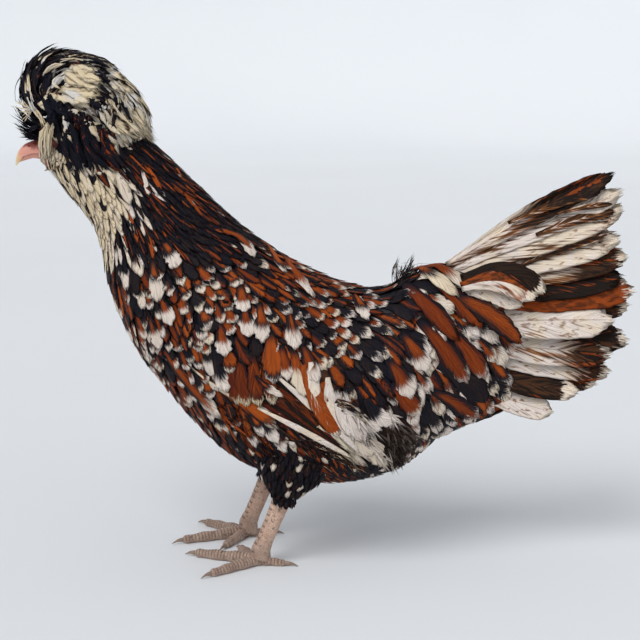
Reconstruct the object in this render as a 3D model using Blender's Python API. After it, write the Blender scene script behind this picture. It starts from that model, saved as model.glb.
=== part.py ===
"""A Polish crested hen, standing, life size, in metres, with +Z up.

The hen faces -X, and her left side faces -Y. The origin is on the floor, below the middle of her box.
The neck, torso and rump are one smooth form, lofted through named sections and parted by thin plane cuts.
Crest, wing and tail feathers are thin vanes that are sunk into a core and fused with it.
"""

import math
import random

import bmesh
import bpy
import numpy as np
from mathutils import Vector

# Driving dimensions
GAP = 0.0003  # between two pieces that meet
VANE_THICK = 0.0008  # of a feather vane
TIP_THINNING = 0.55  # share of that thickness left at its tip
LEFT, RIGHT = -1, 1  # sign of Y for each side of the hen

# Sections of the body from nape to tail root: top x, top z, bottom x, bottom z, half width
BODY = (
    (-0.139, 0.335, -0.217, 0.310, 0.031),
    (-0.107, 0.303, -0.185, 0.273, 0.035),
    (-0.071, 0.261, -0.172, 0.216, 0.050),
    (-0.030, 0.241, -0.140, 0.154, 0.064),
    (0.014, 0.222, -0.078, 0.083, 0.069),
    (0.046, 0.219, -0.008, 0.060, 0.066),
    (0.067, 0.230, 0.052, 0.069, 0.057),
    (0.089, 0.235, 0.091, 0.096, 0.044),
    (0.113, 0.232, 0.130, 0.113, 0.028),
)
NECK_ENDS, TORSO_ENDS = 2.3, 5.5  # places along the sections where the body is parted
BODY_END = len(BODY) - 1
BODY_SIDES = 28
SECTION_STEP = 0.044  # roughly how far apart the sections are
BELLY_SWELL = 0.12  # how much wider a section is below its middle than above

# Sections of the head from the nape plane to the root of the bill, laid out like BODY
HEAD = (
    (-0.139, 0.335, -0.217, 0.310, 0.031),
    (-0.164, 0.358, -0.2195, 0.3125, 0.026),
    (-0.190, 0.359, -0.2215, 0.3150, 0.021),
    (-0.208, 0.355, -0.2240, 0.3175, 0.0165),
    (-0.218, 0.346, -0.2258, 0.3195, 0.0120),
    (-0.224, 0.335, -0.2280, 0.3220, 0.0078),
)
HEAD_END = len(HEAD) - 1
UPPER_BILL = (
    (-0.2325, 0.3355, -0.2330, 0.3240, 0.0058),
    (-0.2386, 0.3325, -0.2382, 0.3222, 0.0047),
    (-0.2430, 0.3272, -0.2408, 0.3195, 0.0032),
    (-0.2452, 0.3208, -0.2432, 0.3176, 0.0017),
    (-0.2456, 0.3154, -0.2449, 0.3150, 0.0006),
)
LOWER_BILL = (
    (-0.2325, 0.3234, -0.2335, 0.3188, 0.0050),
    (-0.2380, 0.3219, -0.2386, 0.3176, 0.0036),
    (-0.2414, 0.3193, -0.2418, 0.3172, 0.0020),
)
NOSTRIL_AT, NOSTRIL_SIZE = (-0.2322, 0.0056, 0.3305), (0.0022, 0.0012, 0.0009)
MOUTH_LINE = -0.27  # where the bill's root is parted, from -1 at its bottom to 1 at its top
EYE_AT, EYE_RADIUS, EYE_STANDS_OUT = (-0.2065, 0.3395), 0.0045, 0.0012
EAR_AT, EAR_SIZE = (-0.190, 0.3265), (0.0065, 0.0022, 0.0075)
WATTLE_AT, WATTLE_SIZE = (-0.2200, 0.3190), (0.0045, 0.0018, 0.0062)
COMB_AT, COMB_SIZE = (-0.2240, 0.3400), (0.0040, 0.0050, 0.0024)
HORN_AT, HORN_SIZE = (-0.2235, 0.0036, 0.3422), (0.0034, 0.0024, 0.0058)

# The crest's outline is an ellipsoid that leans back. Its feathers spring from a whorl above the forehead,
# and those behind the whorl are the longest.
CREST_CENTRE = Vector((-0.1895, 0.0, 0.3620))
CREST_SIZE = (0.0590, 0.0430, 0.0400)  # half length, half width, half height
CREST_LEAN = math.radians(33)  # of the long axis, down towards the nape
CREST_CORE = 0.50  # of the crest's size
CREST_ROOT = 0.34  # of the crest's size, where a feather starts inside the core
CREST_SKIRT = 0.30  # how much wider the crest hangs below its middle
WHORL_LEAN = math.radians(46)  # of the whorl, forward from straight up
CREST_SIDE_TILT = 123  # degrees from the whorl to the lowest tips, beside it
CREST_TILT_RANGE = 50  # how many degrees less that is in front, and more behind
# Tiers of crest feathers: count, share of the way to the lowest tips, reach as a share of the crest's size
CREST_TIERS = (
    (6, 0.30, 0.94),
    (8, 0.50, 0.99),
    (10, 0.68, 1.01),
    (11, 0.85, 1.00),
    (11, 1.00, 0.96),
)
CREST_VANE_WIDTH = 0.021
CREST_VANE_SPAN = math.radians(62)  # the most that a feather takes of the way from the whorl
CREST_STATIONS = 4
CREST_STACK = 0.05  # every other feather of a tier lies this much further out, as a share of the crest's size

# Wing: the middle and reach of its shield in side view, and the lie of its feathers
WING_MIDDLE = (-0.062, 0.200)
WING_REACH = (0.088, 0.047)  # along and across the wing
WING_SLOPE = math.radians(-36)  # of the wing's length, in side view
WING_THICK = 0.0075
WING_STATIONS = 3
WING_SHINGLE = 0.12  # slope of each wing feather across its width, with its lower edge out
# Tiers: name, count, width, first and last root, first and last tip, lift of roots and tips
WING_TIERS = (
    ("primary", 5, 0.014, (0.022, -0.038), (0.034, -0.030), (0.159, -0.037), (0.156, -0.022), (0.0018, 0.0024)),
    ("secondary", 5, 0.022, (0.037, -0.029), (0.052, 0.022), (0.150, -0.016), (0.099, 0.008), (0.0028, 0.0062)),
    ("greater", 6, 0.021, (-0.018, -0.019), (0.018, 0.034), (0.020, -0.038), (0.071, 0.011), (0.0034, 0.0086)),
    ("median", 5, 0.020, (-0.054, -0.008), (-0.003, 0.035), (-0.021, -0.028), (0.038, 0.026), (0.0034, 0.0102)),
    ("lesser", 4, 0.020, (-0.070, 0.001), (-0.026, 0.036), (-0.047, -0.018), (0.006, 0.032), (0.0024, 0.0092)),
)

# Legs
FOOT_X, FOOT_Y = -0.0545, 0.038
RIGHT_FOOT_AHEAD = 0.013  # the right foot stands this far in front of the left one
HOCK_X, HOCK_Y, HOCK_Z = -0.0345, 0.034, 0.0560
SHANK_WIDE = (0.0072, 0.0060, 0.0055, 0.0056, 0.0070, 0.0078)  # half sizes, from hock to ankle
SHANK_DEEP = (0.0082, 0.0072, 0.0068, 0.0068, 0.0078, 0.0085)
THIGH_X, THIGH_Y, THIGH_Z = -0.020, 0.030, 0.118
THIGH_WIDE = (0.026, 0.027, 0.025, 0.020, 0.014, 0.0095)  # half sizes, from the hip to the hock
THIGH_DEEP = (0.036, 0.036, 0.032, 0.025, 0.017, 0.0105)
ANKLE_Z = 0.0085
# Toes: name, heading away from -X towards the outside, length, radius at its root
TOES = (
    ("outer", 41, 0.047, 0.0046),
    ("middle", -22, 0.055, 0.0050),
    ("inner", -66, 0.038, 0.0044),
    ("hind", 170, 0.022, 0.0038),
)
CLAW_LENGTH, CLAW_RADIUS = 0.0105, 0.0020

# Tail: each half is a fan whose roots and tips lie in rows from the top feather to the lowest one. A pair of
# numbers holds the top feather's value and the lowest one's.
TAIL_ROOTS = ((0.096, 0.219), (0.114, 0.160))
FAN_MIDDLE = (0.116, 0.199)
TAIL_TIERS = (
    dict(
        name="main",
        count=8,
        along_roots=(0.0, 1.0),
        heading=(46, -52),  # degrees of the tips, seen from the fan's middle
        reach=(0.147, 0.094),
        root_out=(0.003, 0.007),  # off the hen's middle plane
        tip_out=(0.006, 0.026),
        tilt=(32, 16),  # degrees that the vane leans in at its top
        width=(0.029, 0.0247),
        bow=(0.006, 0.0),
        rise=0.05,
        stations=5,
    ),
    dict(
        name="covert",
        count=5,
        along_roots=(0.12, 0.88),
        heading=(34, -50),
        reach=(0.084, 0.062),
        root_out=(0.008, 0.008),
        tip_out=(0.020, 0.028),
        tilt=(20, 20),
        width=(0.028, 0.028),
        bow=(0.003, 0.003),
        rise=0.0,
        stations=3,
    ),
)


def clear_scene():
    for obj in list(bpy.data.objects):
        bpy.data.objects.remove(obj)


def new_collection(name, hidden=False):
    made = bpy.data.collections.new(name)
    bpy.context.scene.collection.children.link(made)
    made.hide_render = hidden
    return made


def material(name, colour, roughness):
    made = bpy.data.materials.new(name)
    made.use_nodes = True
    shader = made.node_tree.nodes["Principled BSDF"]
    shader.inputs["Base Color"].default_value = (*colour, 1.0)
    shader.inputs["Roughness"].default_value = roughness
    shader.inputs["Metallic"].default_value = 0.0
    made.diffuse_color = (*colour, 1.0)
    return made


def smooth_row(table, s):
    """The row of numbers at place s of a table, on a Catmull-Rom curve through its rows."""
    rows = np.asarray(table, float)
    last = len(rows) - 1
    i = min(max(int(s), 0), last - 1)
    t = s - i
    before = rows[i - 1] if i else 2 * rows[0] - rows[1]
    after = rows[i + 2] if i + 2 <= last else 2 * rows[last] - rows[last - 1]
    a, b = rows[i], rows[i + 1]
    return 0.5 * (
        2 * a
        + (b - before) * t
        + (2 * before - 5 * a + 4 * b - after) * t * t
        + (3 * a - before - 3 * b + after) * t**3
    )


def section_point(table, s, angle, swell=0.0):
    """The point at an angle round the section at s: 0 is its top, and positive angles are on the right."""
    top_x, top_z, low_x, low_z, half = smooth_row(table, s)
    up, out = math.cos(angle), math.sin(angle)
    middle_x, middle_z = (top_x + low_x) / 2, (top_z + low_z) / 2
    return Vector(
        (
            middle_x + (top_x - low_x) / 2 * up,
            half * out * (1 - swell * up),
            middle_z + (top_z - low_z) / 2 * up,
        )
    )


def locate(x, z, first=0.0, last=float(BODY_END)):
    """Where a point in side view lies on the body: (place along the sections, angle from the top)."""

    def side(s):
        top_x, top_z, low_x, low_z, _ = smooth_row(BODY, s)
        return (x - low_x) * (top_z - low_z) - (z - low_z) * (top_x - low_x)

    lo, hi = first, last
    for _ in range(40):
        mid = (lo + hi) / 2
        if side(mid) > 0:
            lo = mid
        else:
            hi = mid
    s = (lo + hi) / 2
    top_x, top_z, low_x, low_z, _ = smooth_row(BODY, s)
    half = Vector((top_x - low_x, top_z - low_z)) / 2
    offset = Vector((x - (top_x + low_x) / 2, z - (top_z + low_z) / 2))
    share = max(-0.999, min(0.999, offset.dot(half) / half.length_squared))
    return s, math.acos(share)


def body_point(s, angle):
    return section_point(BODY, s, angle, BELLY_SWELL)


def body_normal(s, angle):
    step = 0.02
    ahead = body_point(min(s + step, BODY_END), angle) - body_point(max(s - step, 0), angle)
    round_ = body_point(s, angle + step) - body_point(s, angle - step)
    return ahead.cross(round_).normalized()


def on_side(x, z, side, lift=0.0):
    """The point of the body's surface that side view shows at x, z, lifted off it."""
    s, angle = locate(x, z)
    angle *= side
    return body_point(s, angle) + body_normal(s, angle) * lift


def mesh_object(name, verts, faces, collection):
    mesh = bpy.data.meshes.new(name)
    mesh.from_pydata([tuple(v) for v in verts], [], faces)
    obj = bpy.data.objects.new(name, mesh)
    collection.objects.link(obj)
    bm = bmesh.new()
    bm.from_mesh(mesh)
    bmesh.ops.recalc_face_normals(bm, faces=bm.faces)
    bm.to_mesh(mesh)
    bm.free()
    return obj


def loft(name, rings, collection):
    """A closed solid through rings of equally many points, with a flat cap at each end."""
    count = len(rings[0])
    verts = [p for ring in rings for p in ring]
    faces = []
    for i in range(len(rings) - 1):
        for j in range(count):
            k = (j + 1) % count
            a, b = i * count + j, i * count + k
            c, d = (i + 1) * count + k, (i + 1) * count + j
            faces += [(a, b, c), (a, c, d)]
    faces.append(tuple(reversed(range(count))))
    faces.append(tuple(range((len(rings) - 1) * count, len(rings) * count)))
    return mesh_object(name, verts, faces, collection)


def loft_sections(name, table, first, last, rings, sides, swell, collection):
    """Part of a sectioned form, from place first to place last."""
    return loft(
        name,
        [
            [
                section_point(table, first + (last - first) * i / rings, math.tau * j / sides, swell)
                for j in range(sides)
            ]
            for i in range(rings + 1)
        ],
        collection,
    )


def ellipsoid(name, centre, half_sizes, collection, segments=16, rings=10, lean=0.0):
    """An ellipsoid that leans about Y, with its near end down for a positive lean."""
    mesh = bpy.data.meshes.new(name)
    bm = bmesh.new()
    bmesh.ops.create_uvsphere(bm, u_segments=segments, v_segments=rings, radius=1.0)
    for v in bm.verts:
        v.co = centre + leaned(v.co * Vector(half_sizes), lean)
    bm.to_mesh(mesh)
    bm.free()
    obj = bpy.data.objects.new(name, mesh)
    collection.objects.link(obj)
    return obj


def leaned(vector, lean):
    """The vector turned about Y, so that +X goes down by the lean."""
    c, s = math.cos(lean), math.sin(lean)
    return Vector((vector.x * c + vector.z * s, vector.y, vector.z * c - vector.x * s))


def vane(name, path, across, widths, collection, rise=0.0):
    """A feather: a thin blade along a path, as wide as widths along the directions in across.

    Its front and back are split into triangles alike. With a rise, the shaft stands up by that share
    of the width, and the two webs slope down from it.
    """
    last = len(path) - 1
    places = (-1, 0, 1) if rise else (-1, 1)
    count = len(places)
    verts, faces = [], []
    for i, (point, wide, width) in enumerate(zip(path, across, widths)):
        along = path[min(i + 1, last)] - path[max(i - 1, 0)]
        up = wide.cross(along).normalized()
        half = wide.normalized() * width / 2
        depth = up * (VANE_THICK / 2) * (TIP_THINNING if i == last else 1.0)
        row = [point + half * share + up * (rise * width * (1 - abs(share))) for share in places]
        verts += [p + depth for p in row] + [p - depth for p in row]
    for i in range(last):
        a, b = i * 2 * count, (i + 1) * 2 * count
        for j in range(count - 1):
            faces += [(a + j, a + j + 1, b + j + 1), (a + j, b + j + 1, b + j)]
            c, d = a + count + j, b + count + j
            faces += [(c, d + 1, c + 1), (c, d, d + 1)]
        e, f = a + count - 1, b + count - 1
        faces += [(a, b, b + count), (a, b + count, a + count)]
        faces += [(e, f + count, f), (e, e + count, f + count)]
    for a in (0, last * 2 * count):
        for j in range(a, a + count - 1):
            faces += [(j, j + 1, j + count + 1), (j, j + count + 1, j + count)]
    return mesh_object(name, verts, faces, collection)


def room_for(obj, collection, amount=GAP * 1.1):
    """A cutter a little larger than a solid, so that what it cuts stands clear of that solid."""
    mesh = obj.data.copy()
    bm = bmesh.new()
    bm.from_mesh(mesh)
    bm.normal_update()
    moves = [(v, v.normal * amount) for v in bm.verts]
    for v, move in moves:
        v.co += move
    bm.to_mesh(mesh)
    bm.free()
    copy = bpy.data.objects.new(f"{obj.name}_room", mesh)
    collection.objects.link(copy)
    copy.hide_render = True
    copy.display_type = "WIRE"
    return copy


def bake_modifiers(obj):
    graph = bpy.context.evaluated_depsgraph_get()
    mesh = bpy.data.meshes.new_from_object(obj.evaluated_get(graph))
    obj.modifiers.clear()
    obj.data = mesh


def keep_largest(obj):
    """Keeps only the largest closed surface of a mesh."""
    bm = bmesh.new()
    bm.from_mesh(obj.data)
    bmesh.ops.remove_doubles(bm, verts=bm.verts, dist=2e-6)
    bmesh.ops.triangulate(bm, faces=bm.faces)
    bm.verts.ensure_lookup_table()
    seen, groups = set(), []
    for start in bm.verts:
        if start in seen:
            continue
        group, stack = [], [start]
        seen.add(start)
        while stack:
            v = stack.pop()
            group.append(v)
            for edge in v.link_edges:
                other = edge.other_vert(v)
                if other not in seen:
                    seen.add(other)
                    stack.append(other)
        groups.append(group)
    groups.sort(key=len)
    for group in groups[:-1]:
        bmesh.ops.delete(bm, geom=group, context="VERTS")
    bm.to_mesh(obj.data)
    bm.free()


def fuse(base, pieces):
    """Joins a collection's pieces to the base by one Boolean union, then removes them."""
    joined = base.modifiers.new("fuse", "BOOLEAN")
    joined.operation = "UNION"
    joined.solver = "MANIFOLD"
    joined.operand_type = "COLLECTION"
    joined.collection = pieces
    bake_modifiers(base)
    for obj in list(pieces.objects):
        bpy.data.objects.remove(obj)
    bpy.data.collections.remove(pieces)
    keep_largest(base)


def cut(obj, cutter):
    """Takes a cutter, or every cutter of a collection, out of an object."""
    made = obj.modifiers.new("cut", "BOOLEAN")
    made.operation = "DIFFERENCE"
    made.solver = "MANIFOLD"
    if isinstance(cutter, bpy.types.Collection):
        made.operand_type = "COLLECTION"
        made.collection = cutter
    else:
        made.object = cutter
    bake_modifiers(obj)
    keep_largest(obj)


def finish(obj, mat, angle=50):
    obj.data.materials.clear()
    obj.data.materials.append(mat)
    obj.data.shade_smooth()
    obj.data.set_sharp_from_angle(angle=math.radians(angle))


def mirrored(obj, name, collection):
    """The other side's piece, mirrored across the hen's middle plane."""
    mesh = obj.data.copy()
    for v in mesh.vertices:
        v.co.y = -v.co.y
    mesh.flip_normals()
    copy = bpy.data.objects.new(name, mesh)
    collection.objects.link(copy)
    return copy


def build_body(hen, cutters, mats):
    """Neck, torso and rump, parted at two sections. Returns a cutter that clears all three."""
    share = GAP / 2 / SECTION_STEP
    neck = loft_sections("neck", BODY, share, NECK_ENDS - share, 8, BODY_SIDES, BELLY_SWELL, hen)
    torso = loft_sections("torso", BODY, NECK_ENDS + share, TORSO_ENDS - share, 9, BODY_SIDES, BELLY_SWELL, hen)
    rump = loft_sections("rump", BODY, TORSO_ENDS + share, BODY_END, 8, BODY_SIDES, BELLY_SWELL, hen)
    for obj in (neck, torso, rump):
        finish(obj, mats["plumage"])
    whole = loft_sections("body", BODY, 0.0, BODY_END, 31, BODY_SIDES, BELLY_SWELL, cutters)
    room = room_for(whole, cutters, GAP * 1.2)
    bpy.data.objects.remove(whole)
    return room


def beak_section(table, low, high):
    """A first row for a mandible, on the head's end plane and GAP ahead of it."""
    top_x, top_z, low_x, low_z, half = HEAD[-1]
    middle = Vector((top_x + low_x, top_z + low_z)) / 2
    arm = Vector((top_x - low_x, top_z - low_z)) / 2
    ahead = Vector((-arm.y, arm.x)).normalized() * GAP
    top, low_ = middle + arm * high + ahead, middle + arm * low + ahead
    return ((top.x, top.y, low_.x, low_.y, half * 0.86),) + table


def build_head(hen, face_room, mats):
    """The head with its lids, and the eyes as pieces of their own."""
    head = loft_sections("head", HEAD, 0.0, HEAD_END, 8, 18, 0.0, hen)
    room_for(head, face_room)
    lids = new_collection("lids")
    eye_x, eye_z = EYE_AT
    out = head_half_width(eye_x, eye_z) - EYE_RADIUS + EYE_STANDS_OUT
    eyes = []
    for side, tag in ((LEFT, "l"), (RIGHT, "r")):
        centre = Vector((eye_x, side * out, eye_z))
        eyes.append(ellipsoid(f"eye_{tag}", centre, (EYE_RADIUS,) * 3, hen, 10, 7))
        lid = ring_round(f"lid_{tag}", centre, side, EYE_RADIUS * 0.90, 0.0012, lids)
        room_for(lid, face_room)
    fuse(head, lids)
    for eye in eyes:
        cut(head, room_for(eye, face_room))
        finish(eye, mats["eye"])
    finish(head, mats["face"])


def head_half_width(x, z):
    """Half width of the head where side view shows x, z."""
    places = [section_point(HEAD, s / 20, a / 20) for s in range(20 * HEAD_END + 1) for a in range(1, 62)]
    return min(places, key=lambda p: math.hypot(p.x - x, p.z - z)).y


def ring_round(name, centre, side, radius, thick, collection):
    """A lid: a ring round the eye, facing sideways."""
    steps, sides = 12, 5
    verts = []
    for k in range(steps):
        a = math.tau * k / steps
        point = centre + Vector((radius * math.cos(a), side * EYE_RADIUS * 0.38, radius * math.sin(a)))
        out = (point - centre).normalized() * thick
        for j in range(sides):
            b = math.tau * j / sides
            verts.append(point + out * math.cos(b) + Vector((0, thick * math.sin(b), 0)))
    faces = []
    for i in range(steps):
        for j in range(sides):
            near, far = i * sides, (i + 1) % steps * sides
            k = (j + 1) % sides
            faces += [(near + j, near + k, far + k), (near + j, far + k, far + j)]
    return mesh_object(name, verts, faces, collection)


def build_bill(hen, cutters, face_room, mats):
    """Two mandibles, parted by the line of the mouth, and a nostril in each side of the upper one."""
    upper_table = beak_section(UPPER_BILL, MOUTH_LINE, 0.94)
    lower_table = beak_section(LOWER_BILL, -0.94, MOUTH_LINE - 0.045)
    upper = loft_sections("bill_upper", upper_table, 0, len(UPPER_BILL), 9, 12, 0.0, hen)
    lower = loft_sections("bill_lower", lower_table, 0, len(LOWER_BILL), 6, 12, 0.0, hen)
    x, y, z = NOSTRIL_AT
    for side in (LEFT, RIGHT):
        pit = ellipsoid("nostril_cutter", Vector((x, side * y, z)), NOSTRIL_SIZE, cutters, 8, 5, 0.3)
        cut(upper, pit)
    cut(lower, room_for(upper, cutters))
    for obj in (upper, lower):
        finish(obj, mats["bill"])
        room_for(obj, face_room)


def build_face_parts(hen, face_room, body_room, mats):
    """Comb, wattles and ear lobes. A crested hen's are small."""
    horns = new_collection("horns")
    comb = ellipsoid("comb", Vector((COMB_AT[0], 0, COMB_AT[1])), COMB_SIZE, hen, 10, 7)
    x, y, z = HORN_AT
    for side in (LEFT, RIGHT):
        ellipsoid("horn", Vector((x, side * y, z)), HORN_SIZE, horns, 8, 7, -0.5)
    fuse(comb, horns)
    cut(comb, face_room)
    finish(comb, mats["comb"])
    room_for(comb, face_room)
    for part, at, size, mat in (
        ("wattle", WATTLE_AT, WATTLE_SIZE, "comb"),
        ("ear", EAR_AT, EAR_SIZE, "ear"),
    ):
        y = head_half_width(*at)
        left = ellipsoid(f"{part}_l", Vector((at[0], LEFT * (y + 0.0002), at[1])), size, hen, 10, 7)
        cut(left, face_room)
        cut(left, body_room)
        right = mirrored(left, f"{part}_r", hen)
        for obj in (left, right):
            finish(obj, mats[mat])
            room_for(obj, face_room)


def crest_point(turn, tilt, share):
    """A point of the crest: turn round the whorl from straight ahead, tilt from it, share of the full size."""
    lean = -WHORL_LEAN - CREST_LEAN
    whorl, ahead = leaned(Vector((0, 0, 1)), lean), leaned(Vector((-1, 0, 0)), lean)
    round_ = ahead * math.cos(turn) + Vector((0, math.sin(turn), 0))
    way = whorl * math.cos(tilt) + round_ * math.sin(tilt)
    wide = 1 + CREST_SKIRT * max(0.0, -way.z)
    size = Vector((way.x * CREST_SIZE[0], way.y * CREST_SIZE[1] * wide, way.z * CREST_SIZE[2]))
    return CREST_CENTRE + leaned(size * share, CREST_LEAN)


def crest_vane(name, turn, tip, reach, vanes):
    """A crest feather: it leaves the core, bends over to the crest's outside and follows it down to its tip."""
    start = max(0.28 * tip, tip - CREST_VANE_SPAN)
    path, across, widths = [], [], []
    for k in range(CREST_STATIONS + 1):
        t = k / CREST_STATIONS
        tilt = start + (tip - start) * t
        share = CREST_ROOT + (reach - CREST_ROOT) * math.sin(math.pi / 2 * min(1.0, t * 1.3)) ** 0.9
        path.append(crest_point(turn, tilt, share))
        side = [crest_point(turn + step, max(tilt, 0.3), share) for step in (-0.02, 0.02)]
        across.append(side[1] - side[0])
        widths.append(CREST_VANE_WIDTH * (0.45 + 0.75 * t) * max(0.10, math.sqrt(1 - t**3)))
    vane(name, path, across, widths, vanes)


def build_crest(hen, face_room, body_room, mats):
    """The crest, feather by feather, on an oval core."""
    draw = random.Random(5)
    core_size = [v * CREST_CORE for v in CREST_SIZE]
    crest = ellipsoid("crest", CREST_CENTRE, core_size, hen, 14, 9, CREST_LEAN)
    vanes = new_collection("crest_vanes")
    for tier, (count, share, reach) in enumerate(CREST_TIERS):
        for i in range(count):
            turn = math.tau * (i + 0.5 * (tier % 2)) / count + draw.uniform(-0.08, 0.08)
            lowest = CREST_SIDE_TILT - CREST_TILT_RANGE * math.cos(turn)
            tip = math.radians(lowest * share + draw.uniform(-4, 4))
            out = reach + CREST_STACK * (i % 2 - 0.5) + draw.uniform(-0.01, 0.01)
            crest_vane(f"vane_{tier}_{i}", turn, tip, out, vanes)
    fuse(crest, vanes)
    cut(crest, face_room)
    cut(crest, body_room)
    finish(crest, mats["crest"])


def wing_place(u, v, lift):
    """The point of the left flank at u along and v across the wing, lifted off the body."""
    along = Vector((math.cos(WING_SLOPE), math.sin(WING_SLOPE)))
    aside = Vector((-along.y, along.x))
    at = Vector(WING_MIDDLE) + along * u + aside * v
    return on_side(at.x, at.y, LEFT, lift)


def wing_shield(collection):
    """The wing's body: an oval plate that is bent over the flank and thins out to its rim."""
    rings, sides = 4, 16
    verts = []
    for outer in (True, False):
        for r in range(rings + 1):
            share = r / rings
            lift = WING_THICK * (1 - share**2.2) + VANE_THICK if outer else -WING_THICK / 5
            for j in range(sides if r else 1):
                a = math.tau * j / sides
                u, v = (reach * share for reach in WING_REACH)
                verts.append(wing_place(u * math.cos(a), v * math.sin(a), lift))

    def index(face, r, j):
        start = face * (1 + rings * sides)
        return start + (1 + (r - 1) * sides + j % sides if r else 0)

    faces = []
    for j in range(sides):
        for face in (0, 1):
            faces.append((index(face, 0, 0), index(face, 1, j), index(face, 1, j + 1)))
            for r in range(1, rings):
                near, far = index(face, r, j), index(face, r + 1, j)
                faces += [(near, index(face, r, j + 1), index(face, r + 1, j + 1))]
                faces += [(near, index(face, r + 1, j + 1), far)]
        a, b = index(0, rings, j), index(0, rings, j + 1)
        c, d = index(1, rings, j + 1), index(1, rings, j)
        faces += [(a, b, c), (a, c, d)]
    return mesh_object("wing_l", verts, faces, collection)


def wing_feather(name, root, tip, lifts, width, vanes):
    """A vane from root to tip, both given as along and across the wing, that rises off the body by lifts."""
    root, tip = Vector(root), Vector(tip)
    way = tip - root
    step = Vector((-way.y, way.x)).normalized() * 0.002
    path, across, widths = [], [], []
    for k in range(WING_STATIONS + 1):
        t = k / WING_STATIONS
        at = root + way * t
        lift = lifts[0] + (lifts[1] - lifts[0]) * t
        slope = WING_SHINGLE * step.length
        path.append(wing_place(at.x, at.y, lift))
        across.append(wing_place(*(at + step), lift - slope) - wing_place(*(at - step), lift + slope))
        widths.append(width * (0.6 + 0.4 * min(1, 3 * t)) * math.sqrt(1 - 0.93 * t**3))
    vane(name, path, across, widths, vanes)


def build_wing(hen, body_room, mats):
    """Left wing: a shield on the flank, coverts over it and flight feathers under it. Then its mirror image."""
    wing = wing_shield(hen)
    vanes = new_collection("wing_vanes")
    for name, count, width, first_root, last_root, first_tip, last_tip, lifts in WING_TIERS:
        for i in range(count):
            share = i / (count - 1)
            root = Vector(first_root).lerp(Vector(last_root), share)
            tip = Vector(first_tip).lerp(Vector(last_tip), share)
            wing_feather(f"{name}_{i}", root, tip, lifts, width, vanes)
    fuse(wing, vanes)
    cut(wing, body_room)
    finish(wing, mats["plumage"])
    finish(mirrored(wing, "wing_r", hen), mats["plumage"])


def tail_feather(name, side, root, tip, width, tilt, bow, stations, rise, vanes):
    """A vane of one half of the tail, from root to tip. It leans in by the tilt, and bows up."""
    way = tip - root
    up = Vector((-way.z, 0, way.x)).normalized()
    wide = up * math.cos(tilt) - Vector((0, side, 0)) * math.sin(tilt)
    path, widths = [], []
    for k in range(stations + 1):
        t = k / stations
        path.append(root + way * t + up * (bow * math.sin(math.pi * t)))
        widths.append(width * (0.40 + 0.60 * min(1.0, 1.7 * t)) * math.sqrt(1 - 0.92 * t**5))
    vane(name, path, [wide] * len(path), widths, vanes, rise)


def between(pair, share):
    return pair[0] + (pair[1] - pair[0]) * share


def build_tail(hen, body_room, mats):
    """Tail: two halves that lean together like a tent, each with flight feathers under a tier of coverts."""
    top, low = (Vector(at) for at in TAIL_ROOTS)
    middle = (top + low) / 2
    tail = ellipsoid("tail", Vector((middle.x + 0.008, 0, middle.y)), (0.028, 0.017, 0.044), hen, 14, 9, -0.25)
    vanes = new_collection("tail_vanes")
    for side, tag in ((LEFT, "l"), (RIGHT, "r")):
        for tier in TAIL_TIERS:
            for i in range(tier["count"]):
                f = i / (tier["count"] - 1)
                a = math.radians(between(tier["heading"], f))
                at = top.lerp(low, between(tier["along_roots"], f))
                end = Vector(FAN_MIDDLE) + Vector((math.cos(a), math.sin(a))) * between(tier["reach"], f)
                root = Vector((at.x, side * between(tier["root_out"], f), at.y))
                tip = Vector((end.x, side * between(tier["tip_out"], f), end.y))
                tilt, bow = math.radians(between(tier["tilt"], f)), between(tier["bow"], f)
                name, width = f"{tier['name']}_{tag}_{i}", between(tier["width"], f)
                tail_feather(name, side, root, tip, width, tilt, bow, tier["stations"], tier["rise"], vanes)
    fuse(tail, vanes)
    cut(tail, body_room)
    finish(tail, mats["tail"])


def oval_ring(centre, along, wide, half_wide, half_deep, sides):
    """Points of an oval round a centre, across the direction along."""
    side = wide.normalized() * half_wide
    other = along.cross(side).normalized() * half_deep
    turns = [math.tau * j / sides for j in range(sides)]
    return [centre + side * math.cos(a) + other * math.sin(a) for a in turns]


def tube(name, path, wides, deeps, collection, sides, wide=Vector((0, 1, 0)), floor=False, first=None):
    """A solid along a path with oval sections. With floor set, nothing goes under the floor.

    The first section lies across the direction first, where that is given.
    """
    rings, last = [], len(path) - 1
    for i, point in enumerate(path):
        along = (path[min(i + 1, last)] - path[max(i - 1, 0)]).normalized()
        if i == 0 and first:
            along = first.normalized()
        ring = oval_ring(point, along, wide - along * wide.dot(along), wides[i], deeps[i], sides)
        rings.append([Vector((p.x, p.y, max(p.z, 0.0))) for p in ring] if floor else ring)
    return loft(name, rings, collection)


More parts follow.
